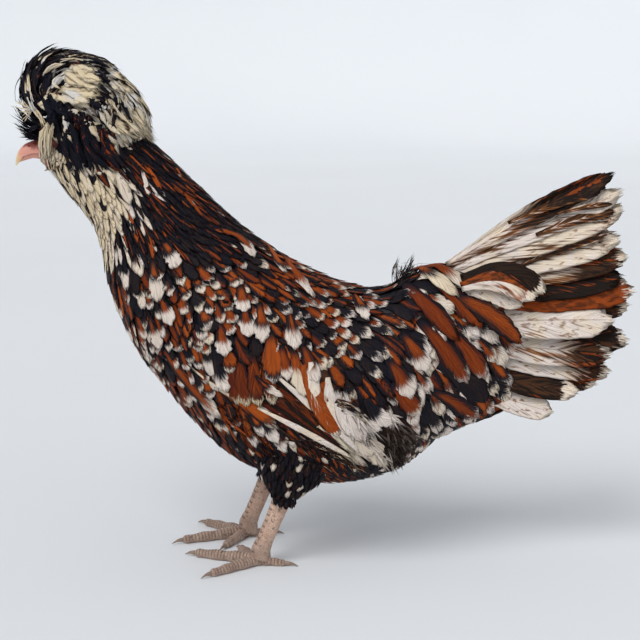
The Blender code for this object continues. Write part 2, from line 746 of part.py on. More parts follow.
def build_leg(side, tag, ahead, hen, block, body_room, mats):
    """One thigh, the foot with its shank and toes, and the claws. Ahead moves it forward from its place."""
    hock = Vector((HOCK_X - ahead, side * HOCK_Y, HOCK_Z))
    foot = Vector((FOOT_X - ahead, side * FOOT_Y, ANKLE_Z))
    thigh_top = Vector((THIGH_X, side * THIGH_Y, THIGH_Z))
    thigh_path = [thigh_top.lerp(hock, t) for t in (0.0, 0.3, 0.55, 0.75, 0.9, 1.0)]
    thigh = tube(f"thigh_{tag}", thigh_path, THIGH_WIDE, THIGH_DEEP, hen, 14)
    cut(thigh, body_room)
    down = (hock - thigh_top).normalized()
    start = hock + down * GAP
    path = [start.lerp(foot, t) for t in (0.0, 0.25, 0.5, 0.75, 0.92)]
    path.append(foot + Vector((0.001, 0, -0.004)))
    leg = tube(f"foot_{tag}", path, SHANK_WIDE, SHANK_DEEP, hen, 12, first=down)
    toes = new_collection("toes")
    heel = Vector((FOOT_X - ahead - 0.001, side * FOOT_Y, 0.0))
    ellipsoid("sole", heel + Vector((0, 0, 0.0048)), (0.0100, 0.0088, 0.0062), toes, 10, 6)
    claws = []
    for name, heading, length, radius in TOES:
        claws.append(build_toe(f"{name}_{tag}", heel, side, heading, length, radius, toes, hen))
    fuse(leg, toes)
    cut(leg, block)
    finish(thigh, mats["plumage"])
    finish(leg, mats["shank"])
    for claw in claws:
        finish(claw, mats["claw"])


def ground(cutters):
    """A block whose top is the floor, for cutting the soles flat."""
    bpy.ops.mesh.primitive_cube_add(size=1.0, location=(0, 0, -0.5))
    block = bpy.context.object
    block.name = "ground_cutter"
    for owner in list(block.users_collection):
        owner.objects.unlink(block)
    cutters.objects.link(block)
    block.hide_render = True
    return block


def build_toe(name, heel, side, heading, length, radius, toes, hen):
    """A toe with three knuckles, flat where it rests on the floor, and its claw as a piece of its own."""
    a = math.radians(heading)
    way = Vector((-math.cos(a), side * math.sin(a), 0))
    wide = Vector((-way.y, way.x, 0))
    steps = 8
    path, sizes = [], []
    for k in range(steps + 1):
        t = k / steps
        r = radius * (1 - 0.34 * t) * (1 + 0.10 * math.cos(math.tau * 3 * t))
        path.append(heel + way * (length * t) + Vector((0, 0, r * 0.86)))
        sizes.append(r)
    tube(f"toe_{name}", path, sizes, sizes, toes, 8, wide)
    tip = path[-1]
    claw_path, claw_sizes = [], []
    for k in range(5):
        t = k / 4
        drop = Vector((0, 0, -tip.z * 0.80 * t**1.8))
        claw_path.append(tip + way * (GAP + CLAW_LENGTH * t) + drop)
        claw_sizes.append(CLAW_RADIUS * (1 - 0.86 * t))
    end = path[-1] - path[-2]
    return tube(f"claw_{name}", claw_path, claw_sizes, claw_sizes, hen, 6, wide, floor=True, first=end)


def main():
    clear_scene()
    hen = new_collection("polish_hen")
    cutters = new_collection("cutters", hidden=True)
    face_room = new_collection("face_room", hidden=True)
    mats = {
        "plumage": material("plumage", (0.20, 0.09, 0.04), 0.6),
        "crest": material("crest_feathers", (0.42, 0.36, 0.26), 0.65),
        "tail": material("tail_feathers", (0.50, 0.40, 0.29), 0.55),
        "face": material("face_skin", (0.42, 0.13, 0.09), 0.55),
        "comb": material("comb_skin", (0.52, 0.08, 0.06), 0.5),
        "ear": material("ear_lobe", (0.78, 0.74, 0.66), 0.5),
        "bill": material("bill", (0.72, 0.47, 0.36), 0.4),
        "eye": material("eye", (0.30, 0.08, 0.02), 0.1),
        "shank": material("shank_scales", (0.62, 0.45, 0.33), 0.55),
        "claw": material("claw", (0.35, 0.24, 0.18), 0.4),
    }
    body_room = build_body(hen, cutters, mats)
    build_head(hen, face_room, mats)
    build_bill(hen, cutters, face_room, mats)
    build_face_parts(hen, face_room, body_room, mats)
    build_crest(hen, face_room, body_room, mats)
    build_wing(hen, body_room, mats)
    build_tail(hen, body_room, mats)
    block = ground(cutters)
    build_leg(LEFT, "l", 0.0, hen, block, body_room, mats)
    build_leg(RIGHT, "r", RIGHT_FOOT_AHEAD, hen, block, body_room, mats)
    for used in (cutters, face_room):
        for obj in list(used.objects):
            bpy.data.objects.remove(obj)
        bpy.data.collections.remove(used)


main()
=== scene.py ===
"""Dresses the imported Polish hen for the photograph: skin, feathers, crest, wings, tail, face, feet and stage.

Everything is in metres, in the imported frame: the hen faces -X and her left side faces -Y.
Feathers are closed vanes. A small feather is laid by walking over the skin along the lie of the coat, and a
large one follows its own curved path. Their markings are drawn by node materials from numbers that each vane
carries at its points: across and along the vane, a number of its own, and the marks of its place or of its
row in a table.
"""

import math

import bmesh
import bpy
import numpy as np
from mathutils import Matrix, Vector


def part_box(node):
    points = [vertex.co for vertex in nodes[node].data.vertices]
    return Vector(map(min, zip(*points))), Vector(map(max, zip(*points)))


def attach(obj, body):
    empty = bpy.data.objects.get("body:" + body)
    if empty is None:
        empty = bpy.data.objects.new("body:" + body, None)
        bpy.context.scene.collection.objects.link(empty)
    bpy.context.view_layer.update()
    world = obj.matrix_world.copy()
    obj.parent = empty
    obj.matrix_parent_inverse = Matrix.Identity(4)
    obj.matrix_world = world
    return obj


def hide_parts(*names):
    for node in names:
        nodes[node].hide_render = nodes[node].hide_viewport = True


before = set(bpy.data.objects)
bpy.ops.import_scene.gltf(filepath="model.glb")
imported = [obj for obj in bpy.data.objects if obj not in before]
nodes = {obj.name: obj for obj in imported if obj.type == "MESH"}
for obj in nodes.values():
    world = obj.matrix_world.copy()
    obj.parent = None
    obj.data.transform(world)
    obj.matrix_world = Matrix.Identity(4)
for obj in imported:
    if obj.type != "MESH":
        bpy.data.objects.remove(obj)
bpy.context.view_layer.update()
rng = np.random.default_rng(11)

SIDES = ((-1, "l"), (1, "r"))
FLIP = np.array([1.0, -1.0, 1.0])
FORWARD, ACROSS, UP = np.array([-1.0, 0, 0]), np.array([0, 1.0, 0]), np.array([0, 0, 1.0])

# Sections of the hen from the root of her bill to the root of her tail: top x, top z, bottom x, bottom z,
# half width
SPINE = np.array(
    [
        (-0.224, 0.335, -0.2280, 0.3220, 0.0078),
        (-0.218, 0.346, -0.2258, 0.3195, 0.0120),
        (-0.208, 0.355, -0.2240, 0.3175, 0.0165),
        (-0.190, 0.359, -0.2215, 0.3150, 0.021),
        (-0.164, 0.358, -0.2195, 0.3125, 0.026),
        (-0.139, 0.335, -0.217, 0.310, 0.031),
        (-0.107, 0.303, -0.185, 0.273, 0.035),
        (-0.071, 0.261, -0.172, 0.216, 0.050),
        (-0.030, 0.241, -0.140, 0.154, 0.064),
        (0.014, 0.222, -0.078, 0.083, 0.069),
        (0.046, 0.219, -0.008, 0.060, 0.066),
        (0.067, 0.230, 0.052, 0.069, 0.057),
        (0.089, 0.235, 0.091, 0.096, 0.044),
        (0.113, 0.232, 0.130, 0.113, 0.028),
    ]
)
NAPE = 5.0  # place of the nape plane along the sections
TAIL_END = 13.0
BELLY_SWELL = 0.12
SHIFT = -0.006  # of the hen's middle from the photograph's, along X
LEVEL = 0.1914  # height of the photograph's middle
PITCH, DISTANCE = math.radians(10), 1.35  # of the camera, down and away from that middle
PICTURE, FOCAL = 640, 1687.5  # width of the photograph and focal length, in pixels
MIDDLE = PICTURE / 2
FLANK = -0.062  # y of most of what the photograph shows
WING_MIDDLE, WING_REACH, WING_SLOPE = (-0.062, 0.200), (0.088, 0.047), math.radians(-36)
WING_THICK = 0.0075


def unit(v):
    return v / np.maximum(np.linalg.norm(v, axis=-1, keepdims=True), 1e-12)


def row_at(table, s):
    """Rows of a section table at places s, on a Catmull-Rom curve, and straight on past its ends."""
    last = len(table) - 1
    padded = np.vstack([2 * table[0] - table[1], table, 2 * table[-1] - table[-2]])
    inside = np.clip(s, 0, last)
    i = np.minimum(inside.astype(int), last - 1)
    t = (inside - i)[..., None]
    before, a, b, after = padded[i], padded[i + 1], padded[i + 2], padded[i + 3]
    square = 2 * before - 5 * a + 4 * b - after
    cube = 3 * a - before - 3 * b + after
    row = 0.5 * (2 * a + (b - before) * t + square * t * t + cube * t**3)
    past = np.maximum(s - last, 0)[..., None] * (table[-1] - table[-2])
    ahead = np.minimum(s, 0)[..., None] * (table[1] - table[0])
    return row + past + ahead


def smooth_step(low, high, x):
    t = np.clip((x - low) / (high - low), 0, 1)
    return t * t * (3 - 2 * t)


def bump(x, middle, reach):
    """1 at the middle, falling smoothly to 0 at the reach on either side."""
    return smooth_step(1, 0, np.abs(x - middle) / reach)


def body_shape(s, a):
    """Points of the hen's outline solid at places s along it and angles a round it, 0 at the top."""
    top_x, top_z, low_x, low_z, half = np.moveaxis(row_at(SPINE, s), -1, 0)
    up, out = np.cos(a), np.sin(a)
    swell = BELLY_SWELL * smooth_step(NAPE - 0.5, NAPE + 0.5, s)
    x = (top_x + low_x) / 2 + (top_x - low_x) / 2 * up
    y = np.maximum(half, 0.004) * out * (1 - swell * up)
    z = (top_z + low_z) / 2 + (top_z - low_z) / 2 * up
    return np.stack([x, y, z], -1)


def normals(shape, s, a):
    e = 0.01
    return unit(np.cross(shape(s + e, a) - shape(s - e, a), shape(s, a + e) - shape(s, a - e)))


def wing_share(x, z):
    """How far from the wing's middle a place in side view is: 1 at the rim of the folded wing."""
    dx, dz = x - WING_MIDDLE[0], z - WING_MIDDLE[1]
    c, s = math.cos(WING_SLOPE), math.sin(WING_SLOPE)
    return np.hypot((dx * c + dz * s) / WING_REACH[0], (-dx * s + dz * c) / WING_REACH[1])


def coat_depth(s):
    """How far the skin lies inside the outline solid."""
    return 0.0012 + 0.0020 * smooth_step(NAPE - 1.6, NAPE + 1.5, s)


def plump(s, a):
    """How far the feathers stand further out than elsewhere: over the nape, the throat and the breast."""
    top, low = np.maximum(np.cos(a), 0), np.maximum(-np.cos(a), 0)
    nape, throat, breast = 0.0070 * bump(s, 7.0, 1.2), 0.0035 * bump(s, 5.7, 1.0), 0.0022 * bump(s, 7.7, 1.1)
    return nape * top + throat * low + breast * low


def skin_shape(s, a):
    """Points of the skin: inside the outline by the coat's depth, and raised where the wings lie."""
    p = body_shape(s, a)
    r = wing_share(p[..., 0], p[..., 2])
    wing = WING_THICK * (1 - np.clip(r, 0, 1) ** 2.2) * smooth_step(NAPE + 1.2, NAPE + 1.8, s)
    return p + normals(body_shape, s, a) * (wing + plump(s, a) - coat_depth(s))[..., None]


def locate(x, z):
    """Where places in side view lie on the body: (along the sections, angle from the top)."""
    lo, hi = np.full(np.shape(x), NAPE), np.full(np.shape(x), TAIL_END)
    for _ in range(36):
        mid = (lo + hi) / 2
        top_x, top_z, low_x, low_z, _half = np.moveaxis(row_at(SPINE, mid), -1, 0)
        side = (x - low_x) * (top_z - low_z) - (z - low_z) * (top_x - low_x)
        lo, hi = np.where(side > 0, mid, lo), np.where(side > 0, hi, mid)
    s = (lo + hi) / 2
    row = row_at(SPINE, s)
    top, low = row[..., 0:2], row[..., 2:4]
    half, offset = (top - low) / 2, np.stack([x, z], -1) - (top + low) / 2
    share = (offset * half).sum(-1) / (half * half).sum(-1)
    return s, np.arccos(np.clip(share, -0.999, 0.999))


def photo_place(px, py, y=FLANK):
    """Side-view x and z of what the photograph shows at a pixel, for a point at y."""
    c, k = math.cos(PITCH), math.sin(PITCH)
    up = (MIDDLE - np.asarray(py)) / FOCAL
    z = ((DISTANCE + y * c) * up - y * k) / (c + up * k)
    away = (DISTANCE + y * c - z * k) / FOCAL
    return (np.asarray(px) - MIDDLE) * away + SHIFT, LEVEL + z


def seen(points):
    """Where a point or its mirror image on the left side shows in the photograph, in pixels."""
    x, y, z = points[..., 0] - SHIFT, -np.abs(points[..., 1]), points[..., 2] - LEVEL
    c, k = math.cos(PITCH), math.sin(PITCH)
    away = DISTANCE + y * c - z * k
    return MIDDLE + x * FOCAL / away, MIDDLE - (z * c + y * k) * FOCAL / away


def field(px, py, table, soft=12):
    """Values at pixels, from a table of boxes in the photograph: x0, x1, y0, y1, then values.

    The first row is the ground that the others are mixed over, each with a soft edge.
    """
    value = np.broadcast_to(np.array(table[0], float), (*px.shape, len(table[0]))).copy()
    for x0, x1, y0, y1, *values in table[1:]:
        w = smooth_step(x0 - soft, x0 + soft, px) * smooth_step(x1 + soft, x1 - soft, px)
        w = (w * smooth_step(y0 - soft, y0 + soft, py) * smooth_step(y1 + soft, y1 - soft, py))[..., None]
        value = value * (1 - w) + np.array(values) * w
    return value


def inside(px, py, corners):
    """Whether places lie inside a polygon."""
    held = np.zeros(px.shape, bool)
    for (x0, y0), (x1, y1) in zip(corners, corners[1:] + corners[:1]):
        crosses = (y0 > py) != (y1 > py)
        held ^= crosses & (px < (x1 - x0) * (py - y0) / (y1 - y0 + 1e-9) + x0)
    return held


def add_object(name, data):
    obj = bpy.data.objects.new(name, data)
    bpy.context.scene.collection.objects.link(obj)
    return obj


def add_piece(name, data):
    """Adds an object that rides on the hen."""
    obj = add_object(name, data)
    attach(obj, "root")
    return obj


def filled_mesh(name, fill):
    """A mesh from what fill adds to a bmesh."""
    bm = bmesh.new()
    fill(bm)
    mesh = bpy.data.meshes.new(name)
    bm.to_mesh(mesh)
    bm.free()
    return mesh


def quad_mesh(name, points, faces):
    """A smooth mesh from arrays of points and quads, made quickly."""
    mesh = bpy.data.meshes.new(name)
    mesh.vertices.add(len(points))
    mesh.vertices.foreach_set("co", points.astype(np.float32).ravel())
    mesh.loops.add(faces.size)
    mesh.loops.foreach_set("vertex_index", faces.astype(np.int32).ravel())
    mesh.polygons.add(len(faces))
    mesh.polygons.foreach_set("loop_start", np.arange(0, faces.size, 4, dtype=np.int32))
    mesh.polygons.foreach_set("use_smooth", np.ones(len(faces), bool))
    mesh.update(calc_edges=True)
    return mesh


class Coat:
    """Collects vanes of one piece, all with the same number of stations and points across."""

    def __init__(self, name, stations, across):
        self.name, self.stations, self.across = name, stations, across
        self.points, self.uv = [], []
        self.layers = dict(vane=[], mark=[], band=[], barb=[])

    def add(self, centre, side, normal, half, along, marks, patch, look, hand=1.0):
        """Adds n vanes.

        centre, side, normal: (n, stations, 3). half: (n, stations) half widths. along: shares of the way.
        marks: (n, 3) or (n, 6), read by the material. patch: (n, 3) u, v and size of the patch of the unwrap.
        look: dict with camber, ragged, fringe and thick. hand is -1 where the side points the other way.
        """
        grid = (*half.shape, self.across)
        a = np.linspace(-1, 1, self.across)
        along, half = np.broadcast_to(along, half.shape)[..., None], half[..., None]
        length = np.linalg.norm(np.diff(centre, axis=1), axis=-1).sum(1)[:, None, None]
        ragged = 1 + look["ragged"] * rng.uniform(-1, 1, half.shape) * np.abs(a) ** 3
        wide = half * a * ragged
        drop = look["ridge"] * half * (1 - np.abs(a)) - look["camber"] * half * (a * a)
        tip = along**6
        zigzag = 0.5 * np.where(np.arange(self.across) % 2, -1.0, 1.0)
        fringe = look["fringe"] * length * tip * (zigzag + rng.uniform(-0.7, 0.7, grid))
        fringe = fringe - look["round"] * half.max(1, keepdims=True) * tip * (a * a)
        top = centre[:, :, None]
        for way, reach in ((side, wide), (normal, drop), (unit(np.gradient(centre, axis=1)), fringe)):
            top = top + way[:, :, None] * reach[..., None]
        thick = look["thick"] * (1 - 0.6 * along[:, 1:-1, :, None])
        self.points.append(self.both(top, top[:, 1:-1, 1:-1] - normal[:, 1:-1, None] * thick))
        own = np.broadcast_to(rng.uniform(0, 1, (len(centre), 1, 1)), grid)
        u, v = np.broadcast_to(a, grid), np.broadcast_to(along, grid)
        slant = v * length - np.abs(wide) * look.get("barb", 2.0)
        values = dict(vane=(u * hand, v, own), barb=(slant + own * 7.3, wide, own * 3.0))
        for name, parts in values.items():
            self.layers[name].append(self.both(np.stack(parts, -1)))
        for name, parts in (("mark", marks[:, None, :3]), ("band", marks[:, None, 3:])):
            if parts.size:
                self.layers[name].append(np.broadcast_to(parts, (len(centre), self.points[-1].shape[1], 3)))
        patch = patch[:, None, None]
        self.uv.append(self.both(patch[..., :2] + patch[..., 2:] * np.stack([u * 0.30, v - 0.5], -1)))

    def add_pair(self, centre, side, normal, half, along, marks, patch, look):
        """Adds vanes of the left side, and their mirror images on the right."""
        self.add(centre, side, normal, half, along, marks, patch, look)
        patch = patch * np.array([-1, 1, 1]) + np.array([1, 0, 0])
        self.add(centre * FLIP, -side * FLIP, normal * FLIP, half, along, marks, patch, look, -1.0)

    def both(self, top, under=None):
        """Values of the top points, then those of the points under them."""
        under = top[:, 1:-1, 1:-1] if under is None else under
        return np.concatenate([part.reshape(len(top), -1, top.shape[-1]) for part in (top, under)], 1)

    def quads(self):
        j, k = self.stations, self.across
        top = np.arange(j * k).reshape(j, k)
        low = top.copy()
        low[1:-1, 1:-1] = j * k + np.arange((j - 2) * (k - 2)).reshape(j - 2, k - 2)
        top, low = [
            np.stack([grid[:-1, :-1], grid[:-1, 1:], grid[1:, 1:], grid[1:, :-1]], -1).reshape(-1, 4)
            for grid in (top, low)
        ]
        return np.concatenate([top, low[:, ::-1]])

    def build(self, material):
        points = np.concatenate(self.points)
        count, per = points.shape[:2]
        faces = (self.quads()[None] + (np.arange(count) * per)[:, None, None]).reshape(-1, 4)
        mesh = quad_mesh(self.name, points.reshape(-1, 3), faces)
        mesh.materials.append(material)
        for name, parts in self.layers.items():
            if parts:
                layer = mesh.attributes.new(name, "FLOAT_VECTOR", "POINT")
                layer.data.foreach_set("vector", np.concatenate(parts).astype(np.float32).ravel())
        uv = np.concatenate(self.uv).reshape(-1, 2)[faces.ravel()]
        layer = mesh.uv_layers.new(name="OFBake")
        layer.data.foreach_set("uv", np.clip(uv, 0.001, 0.999).astype(np.float32).ravel())
        print(f"{self.name}: {count} vanes, {2 * len(faces)} triangles")
        return add_piece(self.name, mesh)


def outline(along, width, root=0.35, widest=0.6, end=0.15, power=2.0):
    """Half widths of vanes along their length: narrow at the root, widest further on, rounded at the tip."""
    grow = root + (1 - root) * smooth_step(0, widest, along)
    fall = np.clip((along - widest) / (1 - widest), 0, 1)
    share = grow * np.maximum(1 - fall**power, 0) ** 0.5
    share = np.maximum(share, end * (along > 0.5))
    return np.reshape(width, (-1, 1)) / 2 * share[None]


def stations(count, power=1.35):
    """Shares of the way along a vane, closer together near its tip."""
    return 1 - (1 - np.linspace(0, 1, count)) ** power


def framed(centre, normal, roll=None):
    """Sides and normals of vanes, square to their centre lines. roll tilts the sides towards the normals."""
    step = unit(np.gradient(centre, axis=1))
    side = unit(np.cross(step, normal))
    if roll is not None:
        side = unit(side + normal * np.reshape(roll, (-1, 1, 1)))
    return side, unit(np.cross(side, step))


def thin_out(points, room):
    """Which points stay when each needs its room clear of those before it."""
    keys = np.floor(points / room.max()).astype(int).tolist()
    near = [(i, j, k) for i in (-1, 0, 1) for j in (-1, 0, 1) for k in (-1, 0, 1)]
    buckets, kept = {}, []
    for index, (key, point, gap) in enumerate(zip(keys, points.tolist(), room.tolist())):
        around = (q for i, j, k in near for q in buckets.get((key[0] + i, key[1] + j, key[2] + k), ()))
        if all(math.dist(point, q) >= gap for q in around):
            buckets.setdefault(tuple(key), []).append(point)
            kept.append(index)
    return kept


def scatter(shape, s_range, spacing, wanted=None):
    """Roots spread evenly over a surface: places s and a, no two closer than the spacing at their place."""
    cells = (160, 120)
    s = np.linspace(*s_range, cells[0] + 1)
    a = np.linspace(-math.pi, math.pi, cells[1] + 1)
    grid = shape(*np.meshgrid((s[1:] + s[:-1]) / 2, (a[1:] + a[:-1]) / 2, indexing="ij"))
    area = np.linalg.norm(np.cross(np.gradient(grid, axis=0), np.gradient(grid, axis=1)), axis=-1)
    share = (area / spacing(grid) ** 2).ravel()
    total = int(share.sum() * 9)
    cell = rng.choice(len(share), total, p=share / share.sum())
    s = s[cell // cells[1]] + rng.uniform(0, s[1] - s[0], total)
    a = a[cell % cells[1]] + rng.uniform(0, a[1] - a[0], total)
    if wanted is not None:
        good = wanted(shape(s, a))
        s, a = s[good], a[good]
    points = shape(s, a)
    kept = thin_out(points, spacing(points))
    return s[kept], a[kept]


def evenly(spacing):
    return lambda points: np.full(points.shape[:-1], spacing)


def walk(shape, s, a, heading, length, along, lifts, sway):
    """Centre lines of vanes that lie on a surface, and its normals along them.

    heading gives the way for points and places. lifts are heights of root and tip.
    """
    s, a, e = s.copy(), a.copy(), 0.004
    centre, normal = [], []
    for t, ahead in zip(along, [*along[1:], along[-1]]):
        p = shape(s, a)
        ds = (shape(s + e, a) - shape(s - e, a)) / (2 * e)
        da = (shape(s, a + e) - shape(s, a - e)) / (2 * e)
        up = unit(np.cross(ds, da))
        centre.append(p + up * (lifts[0] + (lifts[1] - lifts[0]) * t)[:, None])
        normal.append(up)
        way = heading(p, s, a)
        way = way + np.cross(up, way) * (sway * (t - 0.3))[:, None]
        way = unit(way - up * (way * up).sum(-1, keepdims=True))
        g11, g12, g22 = (ds * ds).sum(-1), (ds * da).sum(-1), (da * da).sum(-1)
        b1, b2 = (ds * way).sum(-1), (da * way).sum(-1)
        det = np.maximum(g11 * g22 - g12 * g12, 1e-14)
        step = length * (ahead - t)
        s += np.clip((g22 * b1 - g12 * b2) / det * step, -0.2, 0.2)
        a += np.clip((g11 * b2 - g12 * b1) / det * step, -0.3, 0.3)
    return np.stack(centre, 1), np.stack(normal, 1)


# Lie of the coat in side view, in degrees above +X, by section and by angle from the top: 0, 45, 90, 135, 180
LIE = np.radians(
    [
        (30, 0, -25, -40, -45),
        (20, -5, -28, -42, -48),
        (0, -15, -32, -46, -52),
        (-15, -25, -38, -52, -58),
        (-30, -38, -46, -60, -66),
        (-40, -48, -55, -66, -72),
        (-42, -48, -56, -68, -76),
        (-42, -50, -59, -70, -76),
        (-32, -46, -64, -70, -68),
        (-24, -42, -68, -68, -62),
        (-10, -38, -66, -68, -56),
        (0, -35, -58, -64, -56),
        (-2, -28, -52, -56, -60),
        (-8, -20, -45, -50, -55),
    ]
)


def lie(points, s, a):
    """Directions of the coat at places s and a."""
    i = np.clip(s, 0, len(LIE) - 1.001)
    j = np.clip(np.abs((a + math.pi) % math.tau - math.pi) / (math.pi / 4), 0, 3.999)
    i0, j0 = i.astype(int), j.astype(int)
    fi, fj = i - i0, j - j0
    angle = (LIE[i0, j0] * (1 - fj) + LIE[i0, j0 + 1] * fj) * (1 - fi)
    angle += (LIE[i0 + 1, j0] * (1 - fj) + LIE[i0 + 1, j0 + 1] * fj) * fi
    return np.stack([np.cos(angle), np.zeros_like(angle), np.sin(angle)], -1)


def down_leg(points, s, a):
    return np.broadcast_to(np.array([-0.22, 0.0, -1.0]), points.shape)


BODY_LOOK = dict(camber=0.12, ridge=0.04, ragged=0.22, fringe=0.070, round=0.22, thick=0.00025,
                 outline=dict(root=0.35, widest=0.72, end=0.35, power=2.8))
NARROW_LOOK = dict(camber=0.07, ridge=0.03, ragged=0.32, fringe=0.040, round=0.0, thick=0.00025)
LEG_LOOK = NARROW_LOOK | dict(fringe=0.06, ragged=0.3)
LONG_LOOK = dict(camber=0.10, ridge=0.05, ragged=0.06, fringe=0.05, round=0.25, thick=0.0004, barb=2.6)
SOFT_LOOK = dict(camber=0.14, ridge=0.05, ragged=0.18, fringe=0.055, round=0.30, thick=0.0003, barb=3.4)
TAIL_LOOK = dict(camber=0.06, ridge=0.03, ragged=0.05, fringe=0.030, round=0.25, thick=0.0005, barb=3.0)
CREST_LOOK = dict(camber=0.04, ridge=0.01, ragged=0.50, fringe=0.10, round=0.0, thick=0.0003)
DOWN_LOOK = dict(camber=0.1, ridge=0.0, ragged=0.7, fringe=0.16, round=0.0, thick=0.0002)


def lay_coat(
    coat, s, a, length, width, marks, look, lifts, s_range, patch=0.006, shape=skin_shape, heading=lie
):
    """Lays one vane at each root. The map of the unwrap runs round the skin across and along it upwards."""
    n = len(s)
    along = stations(coat.stations)
    sway = rng.normal(0, 0.16, n)
    high = lifts[1] + rng.uniform(-0.12, 0.22, n) * lifts[1]
    centre, normal = walk(shape, s, a, heading, length, along, (np.full(n, lifts[0]), high), sway)
    side, normal = framed(centre, framed(centre, normal)[1], rng.normal(0, 0.10, n))
    half = outline(along, width, **look.get("outline", {}))
    u = (a + math.pi) % math.tau / math.tau
    v = (s - s_range[0]) / (s_range[1] - s_range[0])
    coat.add(centre, side, normal, half, along, marks, np.stack([u, v, np.full(n, patch)], -1), look)


class Value:
    """A value in a material's nodes, with the usual signs for reckoning with it."""

    def __init__(self, paint, socket):
        self.paint, self.socket = paint, socket

    def __add__(self, other):
        return self.paint.math("ADD", self, other)

    def __sub__(self, other):
        return self.paint.math("SUBTRACT", self, other)

    def __rsub__(self, other):
        return self.paint.math("SUBTRACT", other, self)

    def __mul__(self, other):
        return self.paint.math("MULTIPLY", self, other)

    def __abs__(self):
        return self.paint.math("ABSOLUTE", self)

    def clamped(self):
        """The value, kept between 0 and 1 by the node that gives it."""
        self.socket.node.use_clamp = True
        return self


class Paint:
    """A material, and short ways to add nodes to it."""

    def __init__(self, name, roughness, sockets=()):
        self.material = bpy.data.materials.new(name)
        self.material.use_nodes = True
        self.tree = self.material.node_tree
        self.shader = self.tree.nodes["Principled BSDF"].inputs
        self.shader["Roughness"].default_value = roughness
        for socket, value in dict(sockets).items():
            self.shader[socket].default_value = value

    def node(self, kind, inputs=(), out=0, **props):
        """One output of a new node. inputs holds what goes into it: values, or plain numbers."""
        node = self.tree.nodes.new("ShaderNode" + kind)
        for name, value in props.items():
            setattr(node, name, value)
        for place, value in dict(inputs).items():
            self.link(value, node.inputs[place])
        return Value(self, node.outputs[out])

    def link(self, value, socket):
        if isinstance(value, Value):
            self.tree.links.new(value.socket, socket)
        else:
            socket.default_value = value

    def math(self, operation, *values):
        return self.node("Math", enumerate(values), operation=operation)

    def step(self, low, high, x):
        """0 below low, 1 above high, smooth between."""
        inputs = {"Value": x, "From Min": low, "From Max": high}
        return self.node("MapRange", inputs, "Result", interpolation_type="SMOOTHSTEP")

    def mix(self, share, a, b, blend="MIX"):
        a, b = [colour if isinstance(colour, Value) else (*colour, 1.0) for colour in (a, b)]
        return self.node("Mix", {0: share, 6: a, 7: b}, 2, data_type="RGBA", blend_type=blend)

    def parts(self, vector):
        outputs = self.node("SeparateXYZ", {0: vector}).socket.node.outputs
        return [Value(self, output) for output in outputs]

    def attribute(self, name):
        return self.parts(self.node("Attribute", out="Vector", attribute_name=name))

    def vector(self, *parts):
        return self.node("CombineXYZ", enumerate(parts))

    def object_place(self):
        return self.node("TexCoord", out="Object")

    def noise(self, place, scale=1.0, detail=2.0, rough=0.5):
        return self.node("TexNoise", {"Vector": place, "Scale": scale, "Detail": detail, "Roughness": rough})

    def cells(self, place, scale, feature):
        return self.node("TexVoronoi", {"Vector": place, "Scale": scale}, "Distance", feature=feature)

    def finish(self, colour, height=None, distance=0.0, strength=1.0):
        """Gives the shader its colour and relief, and returns the material."""
        self.link(colour, self.shader["Base Color"])
        if height is not None:
            inputs = {"Strength": strength, "Distance": distance, "Height": height}
            self.link(self.node("Bump", inputs), self.shader["Normal"])
        return self.material


# The first colour is the black of the feathers, with a blue tint that paints their sheen
SHEEN_BLACK, UMBER, DOWN = (0.007, 0.0075, 0.014), (0.014, 0.009, 0.007), (0.110, 0.082, 0.070)
BROWN_BLACK = (0.030, 0.017, 0.012)
GOLD, DEEP_GOLD, MAROON = (0.440, 0.090, 0.012), (0.170, 0.028, 0.006), (0.085, 0.014, 0.006)
CREAM, WHITE, IVORY = (0.800, 0.660, 0.440), (0.780, 0.690, 0.630), (0.790, 0.670, 0.530)
LITTLE_GLOSS = {"Specular IOR Level": 0.08}


def barb_lines(n, fine=1.0):
    """Height and tone of the barbs: fine lines that run out from the shaft to both edges."""
    x, y, own = n.attribute("barb")
    lines = n.noise(n.vector(x * (2000 * fine), y * 110, own), 1.0, 2.0, 0.6)
    clumps = n.noise(n.vector(x * (560 * fine), y * 90, own), 1.0, 2.0, 0.6)
    return lines, clumps


def finish_with_barb_shade(n, colour, lines, dark, bright):
    """Paints shade between a feather's barbs and light along them, and raises them."""
    # Painted shade between the barbs and painted light along them, by the dark and bright factors
    shade = n.mix(n.step(0.28, 0.72, lines), dark, (bright,) * 3)
    return n.finish(n.mix(1.0, colour, shade, "MULTIPLY"), lines, 0.0003, 0.5)


